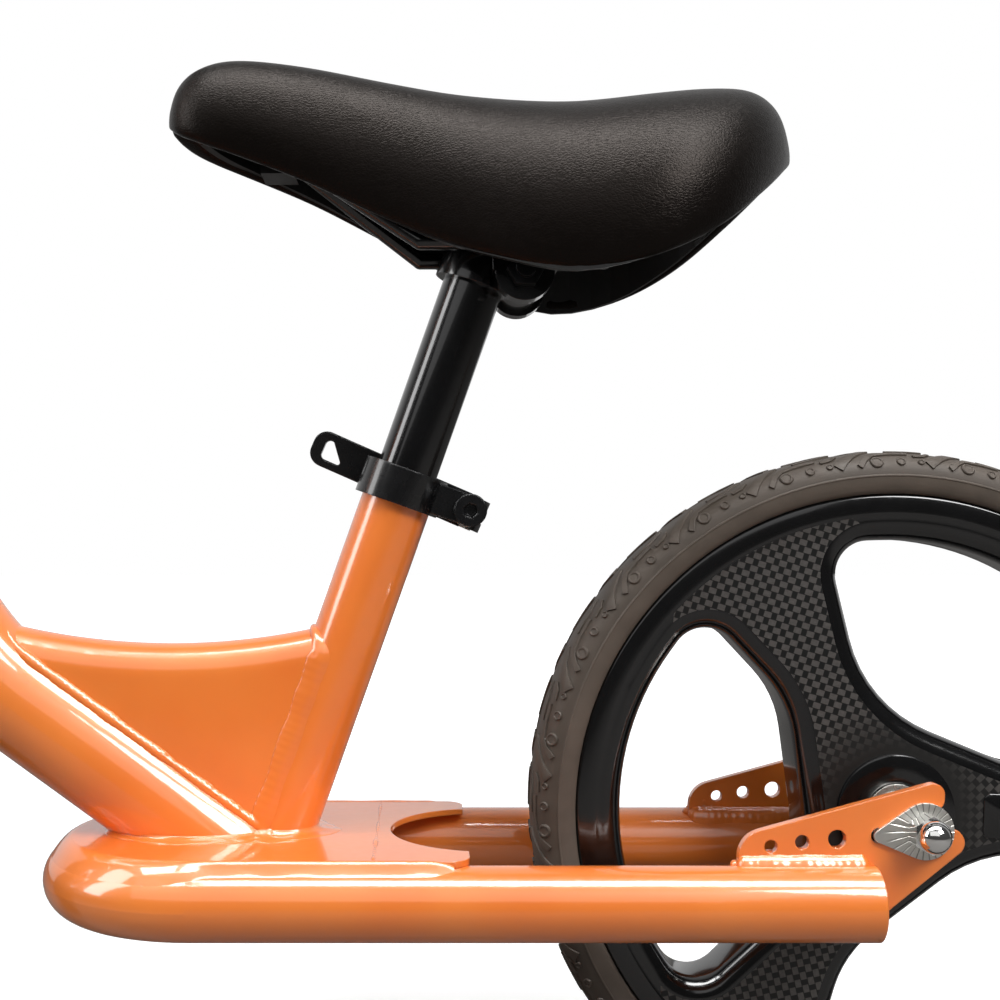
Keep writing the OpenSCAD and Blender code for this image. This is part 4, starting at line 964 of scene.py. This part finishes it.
def frame_welds():
    form = bmesh.new()
    box_seam(form, *main_tube, 2.1 * MM, 1.3, 0.09)
    box_seam(form, *seat_tube, 1.9 * MM, 3, 0.04)
    for y in (-BOX_HALF, BOX_HALF):
        ends = [seam_foot(*main_tube, y) - Vector((8 * MM, 0, 0)),
                seam_foot(*seat_tube, y) + Vector((7 * MM, 0, 0))]
        bead(form, [spot + ACROSS * y * 0.12 for spot in ends], 2.8 * MM, 0.1,
             face=lambda spot: (Vector((0, spot.y, BOX_HALF)), 2))
    foot_fillet(form, main_foot, main_way, MAIN_R, 12 * MM)
    foot_fillet(form, seat_foot, seat_way, SEAT_R, 9 * MM)
    bead(form, [(SEAM_X, -PLATE_R + 2 * MM, PLATE_TOP), (SEAM_X, PLATE_R - 2 * MM, PLATE_TOP)],
         0.55 * MM, 0.3)
    plate_edge(form)
    for side in ("left", "right"):
        low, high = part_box("dropout_" + side)
        for y, out in ((low[1], -1), (high[1], 1)):
            dip = abs(abs(y) - REST_HALF)
            z = REST_Z + math.sqrt(REST_R ** 2 - dip ** 2)
            bead(form, [(low[0] - 0.5 * MM, y, z + 0.5 * MM), (REST_END - 2 * MM, y, z + 0.4 * MM)],
                 3 * MM, 0.045, face=lambda spot: (Vector((0, out, 0.8)), 2))
        z = REST_Z + REST_R - 0.6 * MM
        bead(form, [(low[0] - 0.8 * MM, low[1], z), (low[0] - 0.8 * MM, high[1], z)], 2.4 * MM)
    tube_ring(form, middle("head_tube") - upper_way * 90 * MM, upper_way, MAIN_R, steer_foot,
              steer_way, HEAD_R, 2.4 * MM)
    keep_out(form, seat_foot, seat_way, SEAT_R - WALL)
    keep_out(form, steer_foot, steer_way, HEAD_R - WALL)
    return form


def fork_welds():
    """Beads where the fork's blades run into the foot of its steerer."""
    form = bmesh.new()
    blade_r = 12.7 * MM
    steerer_r = 15.5 * MM
    for side, toward in (("left", ACROSS), ("right", -ACROSS)):
        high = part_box("fork_blade_" + side)[1]
        start = Vector((high[0] - blade_r, -32 * MM * toward.y, high[2] - blade_r))
        tube_ring(form, start, toward, blade_r, steer_foot, steer_way, steerer_r, 2.2 * MM)
    return form


for body, form in (("frame", frame_welds()), ("fork", fork_welds())):
    welds = finish_piece(body + "_welds", form, body, [orange], smooth=60)

# ---- Floor, backdrop and light ----
# A white studio cove. The camera sees a white floor with the bike's soft shadow on it; what
# lights the bike from below is grey, as a floor further off is.


def studio_floor():
    """Matt paint. Only the camera sees the glow that whitens it further out."""
    mat, tree, _ = new_material("studio_floor")
    tree.nodes.clear()
    camera_ray = add(tree, "LightPath")["Is Camera Ray"]
    point = add(tree, "TexCoord")["Object"]
    away = add(tree, "VectorMath", {0: point}, operation="LENGTH")["Value"]
    level = add(tree, "MapRange", {"Value": away, "From Min": 0.5, "From Max": 1.3,
                                   "To Min": 0.45, "To Max": 1.0})["Result"]
    glow = add(tree, "Emission", {"Color": rgb("#ffffff"), "Strength": level})[0]
    pale = add(tree, "BsdfDiffuse", {"Color": rgb("#e6e6e6")})[0]
    seen = add(tree, "AddShader", {0: glow, 1: pale})[0]
    matt = add(tree, "BsdfDiffuse", {"Color": rgb("#82807e")})[0]
    mix = add(tree, "MixShader", {0: camera_ray, 1: matt, 2: seen})[0]
    add(tree, "OutputMaterial", {"Surface": mix})
    return mat


mesh = bpy.data.meshes.new("studio_floor")
form = bmesh.new()
bmesh.ops.create_grid(form, x_segments=1, y_segments=1, size=6)
form.to_mesh(mesh)
form.free()
mesh.materials.append(studio_floor())
floor = bpy.data.objects.new("studio_floor", mesh)
bpy.context.collection.objects.link(floor)

# The room is white where the camera looks and grey elsewhere, and lighter behind the bike than in
# front of it. Glossy surfaces see a quarter of the white behind.
world = bpy.data.worlds.new("studio")
bpy.context.scene.world = world
world.use_nodes = True
sky = world.node_tree
sky.nodes.clear()
rays = add(sky, "LightPath")
toward = add(sky, "TexCoord")["Generated"]
back = add(sky, "SeparateXYZ", {"Vector": toward})["Y"]
behind = add(sky, "MapRange", {"Value": back, "From Min": 0.05, "From Max": 0.5})["Result"]
level = add(sky, "MapRange", {"Value": behind, "To Min": 0.06, "To Max": 0.6})["Result"]
share = add(sky, "Math", {0: behind, 1: 0.25}, operation="MULTIPLY")[0]
shine = add(sky, "Math", {0: rays["Is Glossy Ray"], 1: share}, operation="MULTIPLY")[0]
clear = add(sky, "Math", {0: rays["Is Camera Ray"], 1: rays["Is Transmission Ray"]},
            operation="MAXIMUM")[0]
seen = add(sky, "Math", {0: clear, 1: shine}, operation="MAXIMUM")[0]
room = add(sky, "Background", {"Color": (1, 1, 1, 1), "Strength": level})[0]
bright = add(sky, "Background", {"Color": (1, 1, 1, 1), "Strength": 1})[0]
blend = add(sky, "MixShader", {0: seen, 1: room, 2: bright})[0]
add(sky, "OutputWorld", {"Surface": blend})

BIKE_MIDDLE = Vector((0.12, 0.0, 0.28))


def softbox(name, place, width, height, power, matt=True):
    """A lamp box aimed at the bike, in metres and watts. With matt off it only shows in glossy
    surfaces, as a thin bright tube does."""
    lamp = bpy.data.lights.new(name, "AREA")
    lamp.shape = "RECTANGLE"
    lamp.size = width
    lamp.size_y = height
    lamp.energy = power
    holder = bpy.data.objects.new(name, lamp)
    holder.location = place
    holder.rotation_euler = (BIKE_MIDDLE - Vector(place)).to_track_quat("-Z", "Y").to_euler()
    holder.visible_diffuse = matt
    bpy.context.collection.objects.link(holder)


softbox("over_strip", (0.1, -0.3, 1.35), 1.7, 0.38, 11)
softbox("over_shine", (0.1, -0.3, 1.34), 1.7, 0.38, 25, matt=False)
softbox("key_right", (0.85, -0.85, 1.1), 0.55, 0.55, 15)
softbox("front_high", (-0.35, -1.5, 1.4), 2.4, 1.2, 8.5)
softbox("strip_left", (-1.05, -0.25, 0.78), 0.35, 0.9, 7)

# ---- Camera ----
# A 50 mm lens, level and square to the bike's left side, a little below the rear wheel's top.

camera = bpy.data.cameras.new("camera")
camera.lens = 50
camera.sensor_width = 36
camera.shift_x = 0.08
camera.shift_y = 0.02
view = bpy.data.objects.new("camera", camera)
view.location = (0.09135, -0.5838, 0.2673)
view.rotation_euler = (math.radians(90), 0, 0)
bpy.context.collection.objects.link(view)
bpy.context.scene.camera = view
bpy.context.scene.view_settings.view_transform = "Standard"
